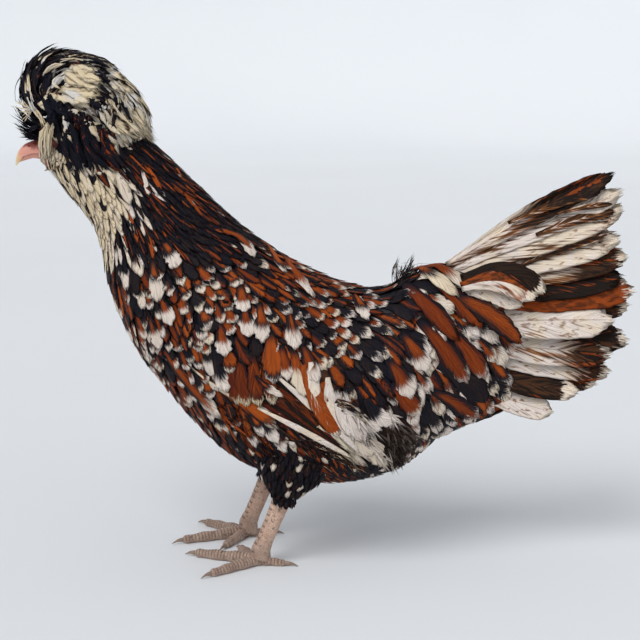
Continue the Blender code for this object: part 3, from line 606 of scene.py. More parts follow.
def body_material():
    """Spangled plumage.

    mark holds the share of the tip that is white, the share of the width that is gold, and how warm the white
    is, or how dark the gold is where it is below 0. Gold below -0.5 stands for grey down.
    """
    n = Paint("spangled_plumage", 0.6, LITTLE_GLOSS)
    u, v, own = n.attribute("vane")
    tip, gold, tone = n.attribute("mark")
    lines, clumps = barb_lines(n)
    across = abs(u + (own - 0.5) * 0.5)
    wobble, fine, dull = clumps - 0.5, lines - 0.5, (own - 0.5) * 0.9
    streaks = n.noise(n.vector(u * 4.5, v * 1.4, own * 40))
    streaked = streaks - 0.5
    edge = across + wobble * 1.3 + fine * 0.9 + streaked * 1.3
    gold_share = n.step(gold + 0.20, gold - 0.20, edge) * n.step(0.05, 0.30, v)
    gold_tone = (clumps * 0.9 + dull + streaked * 1.4).clamped()
    deep = n.step(0.0, -1.0, tone) * n.step(0.75, 0.35, clumps)
    gold_colour = n.mix(deep, n.mix(gold_tone, DEEP_GOLD, GOLD), MAROON)
    brownish = (n.step(0.42, 0.72, clumps) + (own - 0.5) * 0.3).clamped()
    down = n.mix(n.step(0.35, 0.65, clumps + dull), BROWN_BLACK, DOWN)
    black = n.mix(n.step(-0.5, -0.8, gold), n.mix(brownish, SHEEN_BLACK, BROWN_BLACK), down)
    body = n.mix(gold_share, black, gold_colour)
    reach = v + n.math("POWER", across, 2.0) * 0.08 + (wobble * 0.42 + fine * 0.26)
    start = 1.0 - tip
    band = n.step(start - 0.16, start - 0.05, reach)
    body = n.mix(band * n.step(0.02, 0.06, tip) * n.step(0.45, 0.75, own), body, black)
    pale = n.mix(abs(tone), WHITE, CREAM)
    pale = n.mix(n.step(0.52, 0.80, clumps), pale, (0.34, 0.20, 0.14))
    pale = n.mix(n.step(0.60, 0.72, streaks) * 0.8, pale, (0.16, 0.07, 0.04))
    white = n.step(start - 0.03, start + 0.13, reach)
    body = n.mix(white * n.step(0.02, 0.05, tip), body, pale)
    return finish_with_barb_shade(n, body, lines, (0.64, 0.62, 0.60), 1.16)


def streak_material(name, flecks, darkest, lights, fine=1.0, soft=1.0):
    """Quills and crest, streaked lengthwise.

    mark holds how pale the web on either side is and how gold the dark is. band holds where the dark end
    starts along the vane, how long the cream tip is, and how brown the dark end is.
    """
    n = Paint(name, 0.6, LITTLE_GLOSS)
    u, v, own = n.attribute("vane")
    low, high, gold = n.attribute("mark")
    start, tip, brown = n.attribute("band")
    lines, clumps = barb_lines(n, fine)
    place = n.vector(u * flecks[0], v * flecks[1], own * 40)
    streaks, golds = n.noise(place, 1.0, 2.0, 0.55), n.noise(place, 1.7, 1.0, 0.5)
    ragged = (clumps - 0.5) * (0.45 * soft) + (lines - 0.5) * 0.25
    cut = (low + (high - low) * n.step(-0.03, 0.03, u)) * 0.60 + 0.20
    level = streaks + ragged * 0.8
    white = n.step(cut + 0.04 * soft, cut - 0.04 * soft, level)
    fringe = n.step(cut + 0.12 * soft, cut - 0.02, level)
    reach = v + ragged * 0.5
    white = white * (1.0 - n.step(start - 0.05 * soft, start + 0.05 * soft, reach))
    rim = n.step(0.99 - tip, 1.03 - tip, v + ragged * 0.2) * n.step(0.005, 0.02, tip)
    white = n.math("MAXIMUM", white, rim)
    gold_cut = gold * 0.60 + 0.20
    golden = n.step(gold_cut + 0.06, gold_cut - 0.06, golds + ragged)
    gold_colour = n.mix(n.step(0.0, -1.0, brown), n.mix(clumps, DEEP_GOLD, GOLD), MAROON)
    specks = n.noise(n.vector(u * 3.6, v * 13.0, own * 70)) + ragged * 0.35
    mottled = n.step(0.44, 0.60, specks) * n.step(0.0, 0.3, abs(brown))
    dark = n.mix(golden, darkest, n.mix(mottled * 0.75, gold_colour, (0.030, 0.012, 0.006)))
    fringe = fringe * (1.0 - n.step(start - 0.02, start + 0.10, reach))
    dark = n.mix(((fringe - white).clamped() * brown).clamped(), dark, (0.36, 0.13, 0.035))
    earthy = n.step(0.50, 0.68, golds + ragged * 1.1)
    dark = n.mix((earthy * brown).clamped(), dark, (0.075, 0.031, 0.014))
    light = n.mix(n.step(0.48, 0.76, n.noise(n.object_place(), 70.0, 2.0) + own * 0.24), *lights)
    light = n.mix(n.step(0.58, 0.85, clumps), light, (0.46, 0.34, 0.25))
    light = n.mix(rim * 0.7, light, lights[1])
    light = n.mix((n.step(0.58, 0.70, specks) * (brown * 0.8)).clamped(), light, (0.20, 0.085, 0.035))
    shaft = n.step(0.05, 0.02, abs(u)) * n.step(0.0, 0.5, brown)
    colour = n.mix(shaft * white * 0.5, n.mix(white, dark, light), (0.30, 0.19, 0.12))
    return finish_with_barb_shade(n, colour, lines, (0.72, 0.70, 0.68), 1.12)


def skin_material():
    """Dark under the coat, and bare and red round the eye and the root of the bill."""
    n = Paint("feathered_skin", 0.6)
    place = n.object_place()
    patches = n.noise(place, 55.0, 3.0, 0.6)
    coat = n.mix(n.step(0.5, 0.62, patches), (0.012, 0.011, 0.013), (0.12, 0.04, 0.014))
    face = n.mix(n.noise(place, 300.0, 3.0), (0.20, 0.035, 0.025), (0.34, 0.085, 0.06))
    bare = n.step(-0.200, -0.212, n.parts(place)[0] + patches * 0.01)
    return n.finish(n.mix(bare, coat, face), n.noise(place, 900.0, 3.0, 0.6), 0.0008)


BODY_MAT = body_material()
STREAK_MAT = streak_material("streaked_quills", (1.3, 1.1), UMBER, (WHITE, IVORY), 0.35, 2.0)
CREST_MAT = streak_material("crest_plumage", (0.8, 1.6), SHEEN_BLACK, ((0.76, 0.73, 0.68), CREAM))

CREST_CENTRE, CREST_SIZE = np.array([-0.1895, 0.0, 0.3620]), np.array([0.0590, 0.0430, 0.0400])
CREST_LEAN = math.radians(33)
CREST_SKIRT = 0.30
TAIL_ROOT, TAIL_ROOT_SIZE = np.array([0.113, 0, 0.190]), np.array([0.028, 0.017, 0.040])
TAIL_ROOT_LEAN = -0.25
THIGH_TOP, HOCK = np.array([-0.020, -0.030, 0.118]), np.array([-0.0345, -0.034, 0.0560])
FOOT = np.array([-0.0545, -0.038, 0.0])
RIGHT_FOOT_AHEAD = 0.013
THIGH_PLACES = (0.0, 0.3, 0.55, 0.75, 0.9, 1.0)
THIGH_WIDE = (0.026, 0.027, 0.025, 0.020, 0.014, 0.0095)
THIGH_DEEP = (0.036, 0.036, 0.032, 0.025, 0.017, 0.0105)
THIGH_COAT = 0.0035
VOXEL, SMOOTHINGS = 0.002, 6  # of the skin's surface


def leaned(v, lean):
    c, s = math.cos(lean), math.sin(lean)
    x, y, z = np.moveaxis(v, -1, 0)
    return np.stack([x * c + z * s, y, z * c - x * s], -1)


def leg_points(side):
    """Top of the thigh, hock and foot of one leg. The values describe the left one, for which side is -1."""
    mirror = np.array([1.0, -side, 1.0])
    ahead = np.array([RIGHT_FOOT_AHEAD if side > 0 else 0.0, 0, 0])
    return THIGH_TOP * mirror, HOCK * mirror - ahead, FOOT * mirror - ahead


def thigh_shape(side):
    top, hock, _foot = leg_points(side)
    way = unit(hock - top)
    across = unit(ACROSS - way * way[1])
    fore = np.cross(way, across)

    def shape(s, a):
        s = np.clip(s, -0.3, 1.15)
        wide = (np.interp(s, THIGH_PLACES, THIGH_WIDE) - THIGH_COAT) * np.sin(a)
        deep = (np.interp(s, THIGH_PLACES, THIGH_DEEP) - THIGH_COAT) * np.cos(a)
        return top + (hock - top) * s[..., None] + fore * deep[..., None] + across * wide[..., None]

    return shape


def loft_into(bm, grid):
    """Adds a closed loft through rings of points to a bmesh."""
    verts = [[bm.verts.new(p) for p in ring] for ring in grid.tolist()]
    for ring, after in zip(verts, verts[1:]):
        for j in range(len(ring)):
            k = (j + 1) % len(ring)
            bm.faces.new((ring[j], ring[k], after[k], after[j]))
    bm.faces.new(verts[0][::-1])
    bm.faces.new(verts[-1])


def ball_into(bm, centre, sizes, lean):
    made = bmesh.ops.create_uvsphere(bm, u_segments=32, v_segments=20, radius=1.0)
    for v in made["verts"]:
        v.co = Vector(leaned(np.array(v.co) * sizes, lean) + centre)


def fill_skin(bm):
    """Body, neck and head, both thighs, and the roots of crest and tail."""
    turns = np.linspace(0, math.tau, 73)[:-1]
    shapes = [(skin_shape, TAIL_END, 150), *((thigh_shape(side), 1.0, 24) for side, _tag in SIDES)]
    for shape, end, rings in shapes:
        loft_into(bm, shape(*np.meshgrid(np.linspace(0.0, end, rings), turns, indexing="ij")))
    ball_into(bm, CREST_CENTRE, CREST_SIZE * 0.62, CREST_LEAN)
    ball_into(bm, TAIL_ROOT, TAIL_ROOT_SIZE, TAIL_ROOT_LEAN)
    bmesh.ops.recalc_face_normals(bm, faces=bm.faces)


def build_skin():
    """One skin under all the feathers."""
    obj = add_object("skin", filled_mesh("skin", fill_skin))
    remesh = obj.modifiers.new("remesh", "REMESH")
    remesh.mode, remesh.voxel_size, remesh.use_smooth_shade = "VOXEL", VOXEL, True
    smooth = obj.modifiers.new("smooth", "SMOOTH")
    smooth.factor, smooth.iterations = 0.5, SMOOTHINGS
    graph = bpy.context.evaluated_depsgraph_get()
    whole = bpy.data.meshes.new_from_object(obj.evaluated_get(graph))
    obj.modifiers.clear()
    obj.data = whole
    whole.name = "skin"
    whole.materials.clear()
    whole.materials.append(skin_material())
    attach(obj, "root")
    return obj


# Coats of the body: name, first and last place along the sections, stations and points across each vane, look
BODY_COATS = (
    ("hackle_feathers", (4.6, 7.7), 9, 5, NARROW_LOOK),
    ("breast_feathers", (7.4, 9.0), 8, 11, BODY_LOOK),
    ("flank_feathers", (9.0, 10.6), 8, 11, BODY_LOOK),
    ("saddle_feathers", (10.6, 11.8), 8, 11, BODY_LOOK),
    ("cushion_feathers", (11.8, 12.95), 8, 11, BODY_LOOK),
)
COAT_LIFTS = (0.0003, 0.0034)
# Size of the coat by place in the photograph: box, then spacing, length and width in millimetres
COAT_SIZES = (
    (7.2, 30, 10.5),
    (0, 250, 0, 235, 3.3, 35, 3.5),
    (30, 108, 150, 232, 3.8, 26, 5.2),
    (140, 335, 262, 375, 7.4, 23, 10.5),
    (235, 335, 235, 285, 6.4, 36, 8.0),
    (150, 345, 405, 500, 4.8, 27, 6.0),
    (330, 400, 270, 420, 7.6, 36, 9.5),
    (390, 560, 250, 450, 9.6, 46, 13.0),
    (330, 460, 428, 500, 4.2, 22, 4.5),
)
# Markings by place: box, then share of feathers with white tips, length of the white tip, share with gold,
# width of the gold, warmth of the white
COAT_MARKS = (
    (0.46, 0.18, 0.70, 0.38, 0.3),
    (90, 250, 110, 238, 0.03, 0.10, 0.34, 0.30, 0.3),
    (95, 165, 262, 400, 0.66, 0.26, 0.72, 0.38, 0.3),
    (100, 135, 160, 260, 0.25, 0.36, 0.22, 0.30, 0.2),
    (30, 108, 150, 240, 1.50, 0.75, 0.05, 0.20, 0.9),
    (150, 330, 268, 375, 0.56, 0.18, 0.80, 0.50, 0.25),
    (235, 335, 235, 285, 0.30, 0.15, 0.80, 0.50, 0.25),
    (330, 400, 270, 420, 0.42, 0.13, 0.52, 0.28, 0.2),
    (390, 540, 262, 440, 0.86, 0.27, 0.56, 0.34, 0.25),
    (150, 345, 405, 500, 0.10, 0.30, 0.62, 0.40, 0.3),
    (340, 460, 430, 500, 0.20, 0.20, 0.10, 0.10, 0.3),
)
DOWN_SHARE = ((0.0,), (385, 420, 438, 500, 1.0))  # of the coat that is grey down, by place
NO_GOLD, ALL_DOWN = -0.45, -1.0  # values of the gold mark
NO_END = 2.0  # mark of a vane that is the same to its tip
# Outline in the photograph of the place that the large wing feathers cover
WING_PATCH = ((226, 366), (318, 350), (345, 400), (368, 452), (345, 455), (268, 398), (228, 392))


def cluster(points):
    """A smooth field over the coat, 0 to 1, by which markings gather in groups."""
    x, y, z = np.moveaxis(points, -1, 0)
    wave = np.sin(260 * x + 150 * z + 40 * y) + np.sin(-170 * x + 240 * z + 1.3)
    return smooth_step(-1.8, 1.8, wave + np.sin(420 * x + 90 * z - 60 * y + 2.1))


def coat_size(points):
    return field(*seen(points), COAT_SIZES) / 1000


def off_the_wing(points):
    return ~((np.abs(points[..., 1]) > 0.03) & inside(*seen(points), WING_PATCH))


def warmth(warm):
    return np.clip(warm + rng.uniform(-0.3, 0.3, len(warm)), 0, 1)


def build_body_coat():
    for name, s_range, count, across, look in BODY_COATS:
        s, a = scatter(skin_shape, s_range, lambda p: coat_size(p)[..., 0], off_the_wing)
        n, points = len(s), skin_shape(s, a)
        size, place = coat_size(points), seen(points)
        likely, tip, gilt, gold, warm = np.moveaxis(field(*place, COAT_MARKS), -1, 0)
        likely = likely * (0.45 + 0.9 * cluster(points))
        tip = np.where(rng.uniform(0, 1, n) < likely, tip * rng.uniform(0.5, 1.5, n), 0.0)
        gold = np.where(rng.uniform(0, 1, n) < gilt, gold * rng.uniform(0.4, 1.5, n), NO_GOLD)
        gold = np.where(rng.uniform(0, 1, n) < field(*place, DOWN_SHARE)[..., 0], ALL_DOWN, gold)
        marks = np.stack([tip, np.clip(gold, -1.0, 0.85), warmth(warm)], -1)
        length = size[:, 1] * rng.uniform(0.85, 1.12, n)
        width = size[:, 2] * rng.uniform(0.85, 1.15, n)
        coat = Coat(name, count, across)
        lay_coat(coat, s, a, length, width, marks, look, COAT_LIFTS, s_range)
        coat.build(BODY_MAT)


# Large feathers that are set one by one, lowest layer first: root x and y and tip x and y in pixels of the
# photograph, bow, width and lifts of root and tip in millimetres, then the marks that the material reads
WING_QUILLS = (
    (300, 404, 366, 472, 0.02, 11, 2.0, 2.6, 0.35, 0.45, 0.4, 2.0, 0.20, 0.9),
    (232, 406, 346, 457, -0.01, 6, 1.2, 1.8, 0.02, 0.02, 0.20, 2.0, 0.01, -0.2),
    (238, 402, 347, 457, -0.01, 6, 1.5, 2.1, 0.02, 0.02, 0.95, 2.0, 0.01, -0.9),
    (244, 398, 347, 456, -0.01, 5, 1.8, 2.4, 0.55, 0.02, 0.10, 2.0, 0.01, -0.2),
    (249, 394, 348, 456, -0.01, 6, 2.1, 2.7, 0.02, 0.02, 0.90, 2.0, 0.01, -1.0),
    (254, 390, 349, 455, -0.01, 6, 2.4, 3.0, 0.02, 0.02, 0.15, 2.0, 0.01, -0.3),
    (259, 386, 350, 454, -0.01, 6, 2.7, 3.3, 0.02, 0.02, 0.95, 2.0, 0.01, -0.8),
    (264, 382, 350, 453, -0.01, 6, 3.0, 3.6, 0.02, 0.02, 0.20, 2.0, 0.01, -0.3),
    (270, 377, 351, 452, -0.01, 7, 3.3, 3.9, 0.02, 0.02, 0.75, 2.0, 0.01, -0.6),
    (258, 406, 352, 459, -0.02, 5, 3.8, 4.2, 0.97, 0.99, 0.2, 2.0, 0.10, 0.0),
    (316, 398, 366, 458, 0.02, 15, 3.4, 4.0, 0.70, 0.60, 0.9, 2.0, 0.30, 0.9),
    (344, 396, 374, 444, 0.06, 13, 3.8, 4.4, 0.72, 0.80, 0.0, 2.0, 0.14, 0.2),
    (322, 380, 342, 432, 0.04, 12, 4.2, 4.8, 0.06, 0.06, 1.0, 2.0, 0.12, 0.0),
    (326, 376, 338, 421, 0.04, 10, 5.0, 5.6, 0.95, 0.70, 0.9, 2.0, 0.50, 0.2),
    (302, 364, 338, 434, 0.02, 15, 5.2, 6.6, 0.04, 0.10, 1.0, 2.0, 0.06, 0.0),
    (309, 362, 317, 402, 0.00, 9, 5.6, 6.0, 0.99, 0.90, 0.8, 2.0, 0.50, 0.0),
    (276, 372, 369, 461, -0.02, 6, 5.4, 5.9, 0.92, 0.99, 0.8, 2.0, 0.12, 0.1),
)
WING_COVERTS = (
    (154, 342, 219, 417, 0.02, 14, 2.2, 4.8, 0.16, 0.42, 0.2),
    (148, 338, 216, 416, 0.03, 3, 1.8, 4.6, 0.95, 0.00, 0.6),
    (186, 364, 246, 403, 0.03, 2.6, 3.0, 4.2, 0.85, 0.00, 0.7),
    (215, 386, 277, 425, -0.02, 11, 3.4, 4.4, 0.05, 0.80, 0.3),
    (205, 340, 214, 374, 0.0, 11, 2.0, 4.4, 0.45, -0.2, 0.1),
    (214, 346, 227, 390, 0.0, 15, 2.2, 5.2, 0.36, -0.2, 0.1),
    (229, 350, 238, 402, 0.0, 12, 2.0, 5.0, 0.10, 0.90, -0.95),
    (240, 350, 248, 404, 0.0, 13, 2.2, 5.4, 0.13, 0.90, -1.00),
    (252, 350, 260, 403, 0.0, 13, 2.4, 5.6, 0.12, 0.90, -0.95),
    (264, 350, 274, 399, 0.0, 12, 2.6, 5.8, 0.14, 0.90, -0.80),
    (256, 372, 283, 391, 0.05, 6, 4.0, 6.8, 0.45, 0.20, 0.2),
    (280, 345, 288, 377, 0.0, 12, 3.0, 5.8, 0.30, 0.60, 0.2),
    (290, 348, 305, 392, 0.0, 14, 3.0, 6.0, 0.55, 0.80, 0.6),
    (268, 332, 275, 379, 0.0, 16, 3.2, 6.4, 0.08, 0.90, 0.1),
    (300, 344, 316, 380, 0.0, 12, 3.4, 6.6, 0.35, 0.50, 0.1),
    (334, 388, 350, 434, 0.05, 11, 5.0, 6.4, 0.97, 0.00, 0.0),
    (342, 390, 366, 440, 0.09, 17, 4.6, 6.6, 0.97, 0.00, 0.0),
    (350, 420, 372, 456, 0.06, 13, 5.0, 6.8, 0.97, 0.00, 0.4),
    (366, 398, 392, 424, 0.10, 14, 3.6, 5.8, 0.45, -0.45, 0.0),
    (352, 400, 380, 430, 0.10, 12, 3.4, 5.4, 0.40, -0.45, 0.0),
    (368, 434, 386, 468, 0.05, 16, 4.0, 7.0, 0.97, 0.00, 0.5),
    (246, 404, 264, 434, 0.00, 10, 2.0, 4.4, 0.24, 0.40, 0.1),
    (254, 408, 278, 442, 0.00, 11, 2.2, 4.8, 0.34, -0.45, 0.0),
    (264, 420, 286, 452, 0.00, 10, 2.2, 5.0, 0.30, 0.35, 0.0),
    (240, 416, 256, 448, 0.00, 9, 2.2, 4.6, 0.30, 0.30, 0.0),
)
# Feathers of the flank and the tail coverts whose markings stand out, set in the same way
SPANGLES = (
    (205, 236, 245, 262, -0.06, 9, 3.0, 4.6, 0.06, 0.60, 0.2),
    (228, 244, 249, 269, -0.04, 11, 3.0, 4.8, 0.48, 0.50, 0.1),
    (160, 243, 178, 272, 0.0, 12, 3.0, 4.8, 0.45, 0.30, 0.1),
    (250, 250, 283, 281, -0.06, 9, 3.0, 4.6, 0.12, 0.75, 0.2),
    (107, 170, 126, 208, -0.03, 8, 3.0, 4.0, 0.85, 0.10, 0.4),
    (136, 172, 145, 199, -0.02, 4.5, 3.0, 3.6, 0.85, 0.10, 0.1),
    (132, 160, 157, 196, -0.04, 4.5, 2.6, 3.4, 0.00, 0.85, 0.1),
    (146, 150, 176, 183, -0.05, 3.5, 2.6, 3.4, 0.00, 0.85, 0.1),
    (160, 182, 197, 224, -0.05, 4.0, 2.6, 3.4, 0.00, 0.85, 0.1),
    (122, 212, 135, 246, -0.03, 4.0, 2.6, 3.4, 0.00, 0.85, 0.1),
    (140, 226, 152, 262, -0.03, 4.5, 2.6, 3.4, 0.00, 0.85, 0.1),
    (276, 262, 311, 303, -0.06, 11, 3.0, 4.8, 0.34, 0.70, 0.1),
    (150, 262, 160, 303, 0.0, 12, 3.0, 4.8, 0.50, 0.40, 0.2),
    (160, 296, 174, 325, 0.0, 12, 3.0, 4.8, 0.45, 0.40, 0.1),
    (148, 318, 160, 351, 0.0, 11, 3.0, 4.8, 0.50, 0.30, 0.2),
    (238, 290, 243, 315, 0.0, 12, 3.0, 4.8, 0.40, 0.60, 0.1),
    (243, 306, 248, 337, 0.0, 13, 3.0, 4.8, 0.45, 0.50, 0.1),
    (257, 306, 262, 342, 0.0, 12, 3.4, 5.2, 0.38, 0.60, 0.1),
    (220, 322, 227, 353, 0.0, 12, 3.0, 4.8, 0.42, 0.50, 0.1),
    (286, 312, 294, 350, 0.0, 13, 3.0, 4.8, 0.42, 0.40, 0.1),
    (352, 298, 368, 325, -0.04, 10, 3.0, 4.8, 0.35, 0.40, 0.1),
    (404, 290, 459, 346, -0.05, 18, 3.6, 5.0, 0.00, 0.66, 0.1),
    (434, 286, 487, 336, -0.05, 19, 4.2, 5.6, 0.00, 0.66, 0.1),
    (420, 272, 474, 300, -0.10, 13, 5.0, 6.0, 0.40, 0.85, 0.4),
    (412, 276, 459, 304, -0.08, 12, 5.4, 6.6, 0.52, 0.80, 0.7),
    (420, 324, 469, 388, -0.04, 18, 3.6, 5.0, 0.05, 0.66, 0.1),
    (450, 334, 489, 386, -0.04, 16, 3.8, 5.2, 0.06, 0.72, 0.1),
    (402, 336, 428, 374, -0.03, 18, 3.4, 5.0, 0.34, 0.40, 0.1),
    (388, 360, 412, 399, -0.03, 20, 3.4, 5.0, 0.34, 0.40, 0.1),
    (392, 384, 420, 416, -0.03, 20, 3.4, 5.0, 0.14, 0.72, 0.3),
    (440, 368, 492, 412, -0.03, 20, 3.4, 4.6, 0.00, -0.2, 0.1),
    (432, 394, 482, 430, -0.03, 16, 3.4, 4.6, 0.06, 0.40, 0.1),
)


def bowed(rows, t):
    """Pixels at shares t along feathers whose rows start with root x and y, tip x and y, and bow."""
    x0, y0, x1, y1, bow = np.moveaxis(rows[:, None, :5], -1, 0)
    rise = bow * np.sin(math.pi * t)
    return x0 + (x1 - x0) * t, y0 + (y1 - y0) * t, x1 - x0, y1 - y0, rise


def single_vanes(coat, table, look, shingle, shape):
    """Sets the feathers of a table on both flanks. shingle tilts them against the skin."""
    rows, along = np.array(table, float), stations(coat.stations, 1.15)
    px, py, dx, dy, rise = bowed(rows, along)
    s, a = locate(*photo_place(px - dy * rise, py + dx * rise))
    normal = normals(skin_shape, s, -a)
    lift = rows[:, 6:7] + (rows[:, 7:8] - rows[:, 6:7]) * along
    centre = skin_shape(s, -a) + normal * (lift / 1000)[..., None]
    place = centre[:, 0]
    patch = np.stack([0.1 + place[:, 2], 0.5 + place[:, 0] * 1.6, np.full(len(rows), 0.03)], -1)
    half = outline(along, rows[:, 5] / 1000, **shape)
    coat.add_pair(centre, *framed(centre, normal, shingle), half, along, rows[:, 8:], patch, look)


def build_wings():
    quills = Coat("flight_feathers", 20, 9)
    single_vanes(quills, WING_QUILLS, LONG_LOOK, 0.10, dict(root=0.45, widest=0.45, end=0.15, power=3.0))
    wing = quills.build(STREAK_MAT)
    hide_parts("wing_l", "wing_r")
    coverts = Coat("wing_coverts", 16, 11)
    single_vanes(coverts, WING_COVERTS, SOFT_LOOK, 0.06, dict(root=0.40, widest=0.60, end=0.25, power=2.6))
    coverts.build(BODY_MAT)
    spangles = Coat("spangled_feathers", 14, 11)
    single_vanes(spangles, SPANGLES, SOFT_LOOK, 0.0, dict(root=0.40, widest=0.66, end=0.25, power=2.6))
    spangles.build(BODY_MAT)


# Tail feathers, set one by one from the top to the lowest: root x and y and tip x and y in pixels of the
# photograph, bow, then in millimetres width and distances of root and tip from the middle plane, then tilt in
# degrees, and marks
TAIL_QUILLS = (
    (447, 266, 612, 175, 0.020, 20, 2, 3, 34, 0.30, 0.99, 0.20, 0.48, 0.00, 0.7),
    (450, 270, 620, 192, 0.015, 23, 4, 5, 32, 0.60, 0.60, 0.15, 0.90, 0.12, 0.8),
    (508, 223, 600, 192, 0.030, 8, 5.6, 6.6, 32, 0.20, 0.20, 0.08, 2.00, 0.00, 0.8),
    (454, 274, 622, 208, 0.010, 27, 6, 8, 30, 0.66, 0.80, 0.30, 0.86, 0.07, 0.9),
    (536, 235, 614, 211, 0.030, 9, 8.8, 10, 30, 0.25, 0.25, 0.10, 2.00, 0.00, 0.8),
    (556, 214, 612, 204, 0.030, 5, 8.8, 10, 30, 0.20, 0.20, 0.10, 2.00, 0.00, 0.8),
    (456, 280, 619, 238, 0.005, 27, 8, 10, 30, 0.60, 0.56, 0.20, 0.90, 0.08, 0.9),
    (520, 266, 606, 234, 0.030, 9, 10.6, 12, 30, 0.20, 0.20, 0.08, 2.00, 0.00, 0.8),
    (458, 288, 627, 256, 0.005, 25, 7, 12, 28, 0.45, 0.55, 0.35, 0.62, 0.05, 0.8),
    (462, 294, 621, 276, 0.000, 28, 9, 13, 28, 0.60, 0.20, 0.06, 0.30, 0.00, 0.1),
    (464, 302, 633, 290, 0.000, 28, 11, 15, 26, 0.02, 0.02, 0.88, 0.80, 0.04, -0.25),
    (464, 316, 628, 306, 0.000, 24, 6, 13, 24, 0.30, 0.30, 0.20, 0.40, 0.04, 0.9),
    (462, 330, 627, 340, 0.000, 28, 8, 14, 22, 0.40, 0.30, 0.12, 0.45, 0.04, 0.9),
    (460, 352, 609, 372, 0.000, 22, 9, 15, 20, 0.85, 0.60, 0.40, 0.76, 0.05, 1.0),
    (462, 362, 596, 383, 0.000, 20, 7, 13, 18, 0.55, 0.40, 0.30, 0.50, 0.06, 0.9),
    (462, 342, 610, 354, 0.000, 27, 12, 18, 20, 0.70, 0.97, 0.30, 0.68, 0.04, 1.0),
    (468, 372, 578, 392, -0.010, 20, 12, 18, 18, 0.06, 0.04, 0.12, 0.20, 0.14, 0.9),
    (466, 384, 552, 412, -0.015, 21, 10, 16, 16, 0.80, 0.88, 0.60, 2.00, 0.06, 1.0),
    (460, 324, 612, 320, 0.010, 31, 15, 22, 22, 0.78, 0.88, 0.03, 2.00, 0.05, 0.9),
    (452, 290, 522, 306, 0.100, 18, 17, 23, 20, 0.97, 0.90, 0.10, 2.00, 0.05, 0.8),
    (461, 279, 545, 292, 0.150, 20, 19, 26, 20, 0.02, 0.02, 0.10, 2.00, 0.10, 0.2),
    (461, 287, 536, 298, 0.150, 20, 22, 28, 20, 0.88, 0.02, 0.95, 0.80, 0.14, 0.35),
)
# The mahogany feathers that reach over the root of the tail
TAIL_COVERTS = (
    (432, 306, 483, 354, 0.05, 17, 25, 27, 16, 0.00, 0.58, -0.2),
    (452, 296, 521, 343, 0.07, 17, 27, 28, 18, 0.00, 0.64, -0.5),
)


def fan_vanes(coat, table, look, shape):
    """Sets the feathers of a table at given distances from the middle plane, on both sides of it."""
    rows, along = np.array(table, float), stations(coat.stations, 1.25)
    y = -(rows[:, 6:7] + (rows[:, 7:8] - rows[:, 6:7]) * along) / 1000
    px, py, dx, dy, rise = bowed(rows, along)
    x, z = photo_place(px + dy * rise, py - dx * rise, y)
    centre = np.stack([x, y, z], -1)
    step = unit(np.gradient(centre, axis=1))
    tilt = np.radians(rows[:, 8])[:, None, None]
    up = unit(np.cross(step, ACROSS))
    up = up * np.where(up[..., 2:] < 0, -1.0, 1.0)
    normal = unit(np.cross(up * np.cos(tilt) + ACROSS * np.sin(tilt), step))
    normal = normal * np.where(normal[..., 1:2] > 0, -1.0, 1.0)
    side = unit(np.cross(step, normal))
    marks = rows[:, 9:]
    if (side * up).sum(-1).mean() < 0 and marks.shape[1] == 6:
        marks = marks[:, [1, 0, 2, 3, 4, 5]]
    n = len(rows)
    patch = np.stack([np.full(n, 0.25), 0.05 + 0.9 * np.arange(n) / n, np.full(n, 0.05)], -1)
    half = outline(along, rows[:, 5] / 1000, **shape)
    coat.add_pair(centre, side, normal, half, along, marks, patch, look)


def build_tail():
    tail = Coat("tail_vanes", 26, 17)
    fan_vanes(tail, TAIL_QUILLS, TAIL_LOOK, dict(root=0.40, widest=0.60, end=0.28, power=4.0))
    piece = tail.build(STREAK_MAT)
    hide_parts("tail")
    coverts = Coat("tail_coverts", 20, 13)
    fan_vanes(coverts, TAIL_COVERTS, SOFT_LOOK, dict(root=0.45, widest=0.50, end=0.15, power=2.2))
    coverts.build(BODY_MAT)


def crest_cover(points, share):
    """Points brought to the crest's rounded surface at a share of its full size, with the way out of it."""
    v = leaned(points - CREST_CENTRE, -CREST_LEAN) / CREST_SIZE
    wider = 1 + CREST_SKIRT * np.maximum(0.0, -v[..., 2] / np.maximum(np.linalg.norm(v, axis=-1), 1e-9))
    v[..., 1] /= wider
    v = unit(v)
    out = v / CREST_SIZE
    v = v * np.reshape(share, np.shape(share) + (1,) * (v.ndim - np.ndim(share)))
    v[..., 1] *= wider
    return CREST_CENTRE + leaned(v * CREST_SIZE, CREST_LEAN), unit(leaned(out, CREST_LEAN))


# Lie of the crest in side view: pixel of the photograph, then degrees above +X
CREST_LIE = np.array(
    [
        (25, 92, 85), (22, 72, 72), (38, 55, 48), (58, 62, 30), (80, 58, 8), (102, 62, -18),
        (120, 76, -40), (136, 96, -58), (150, 120, -72), (156, 138, -74), (45, 82, 62), (62, 90, 10),
        (84, 76, -12), (80, 98, -14), (101, 86, -36), (112, 102, -50), (122, 122, -60), (136, 120, -66),
        (96, 115, -48), (92, 136, -42), (76, 120, -62), (60, 120, -78), (70, 140, -66), (50, 122, -92),
        (45, 140, -98), (36, 106, 150), (30, 118, 186), (27, 106, 130), (38, 128, 205),
    ]
)
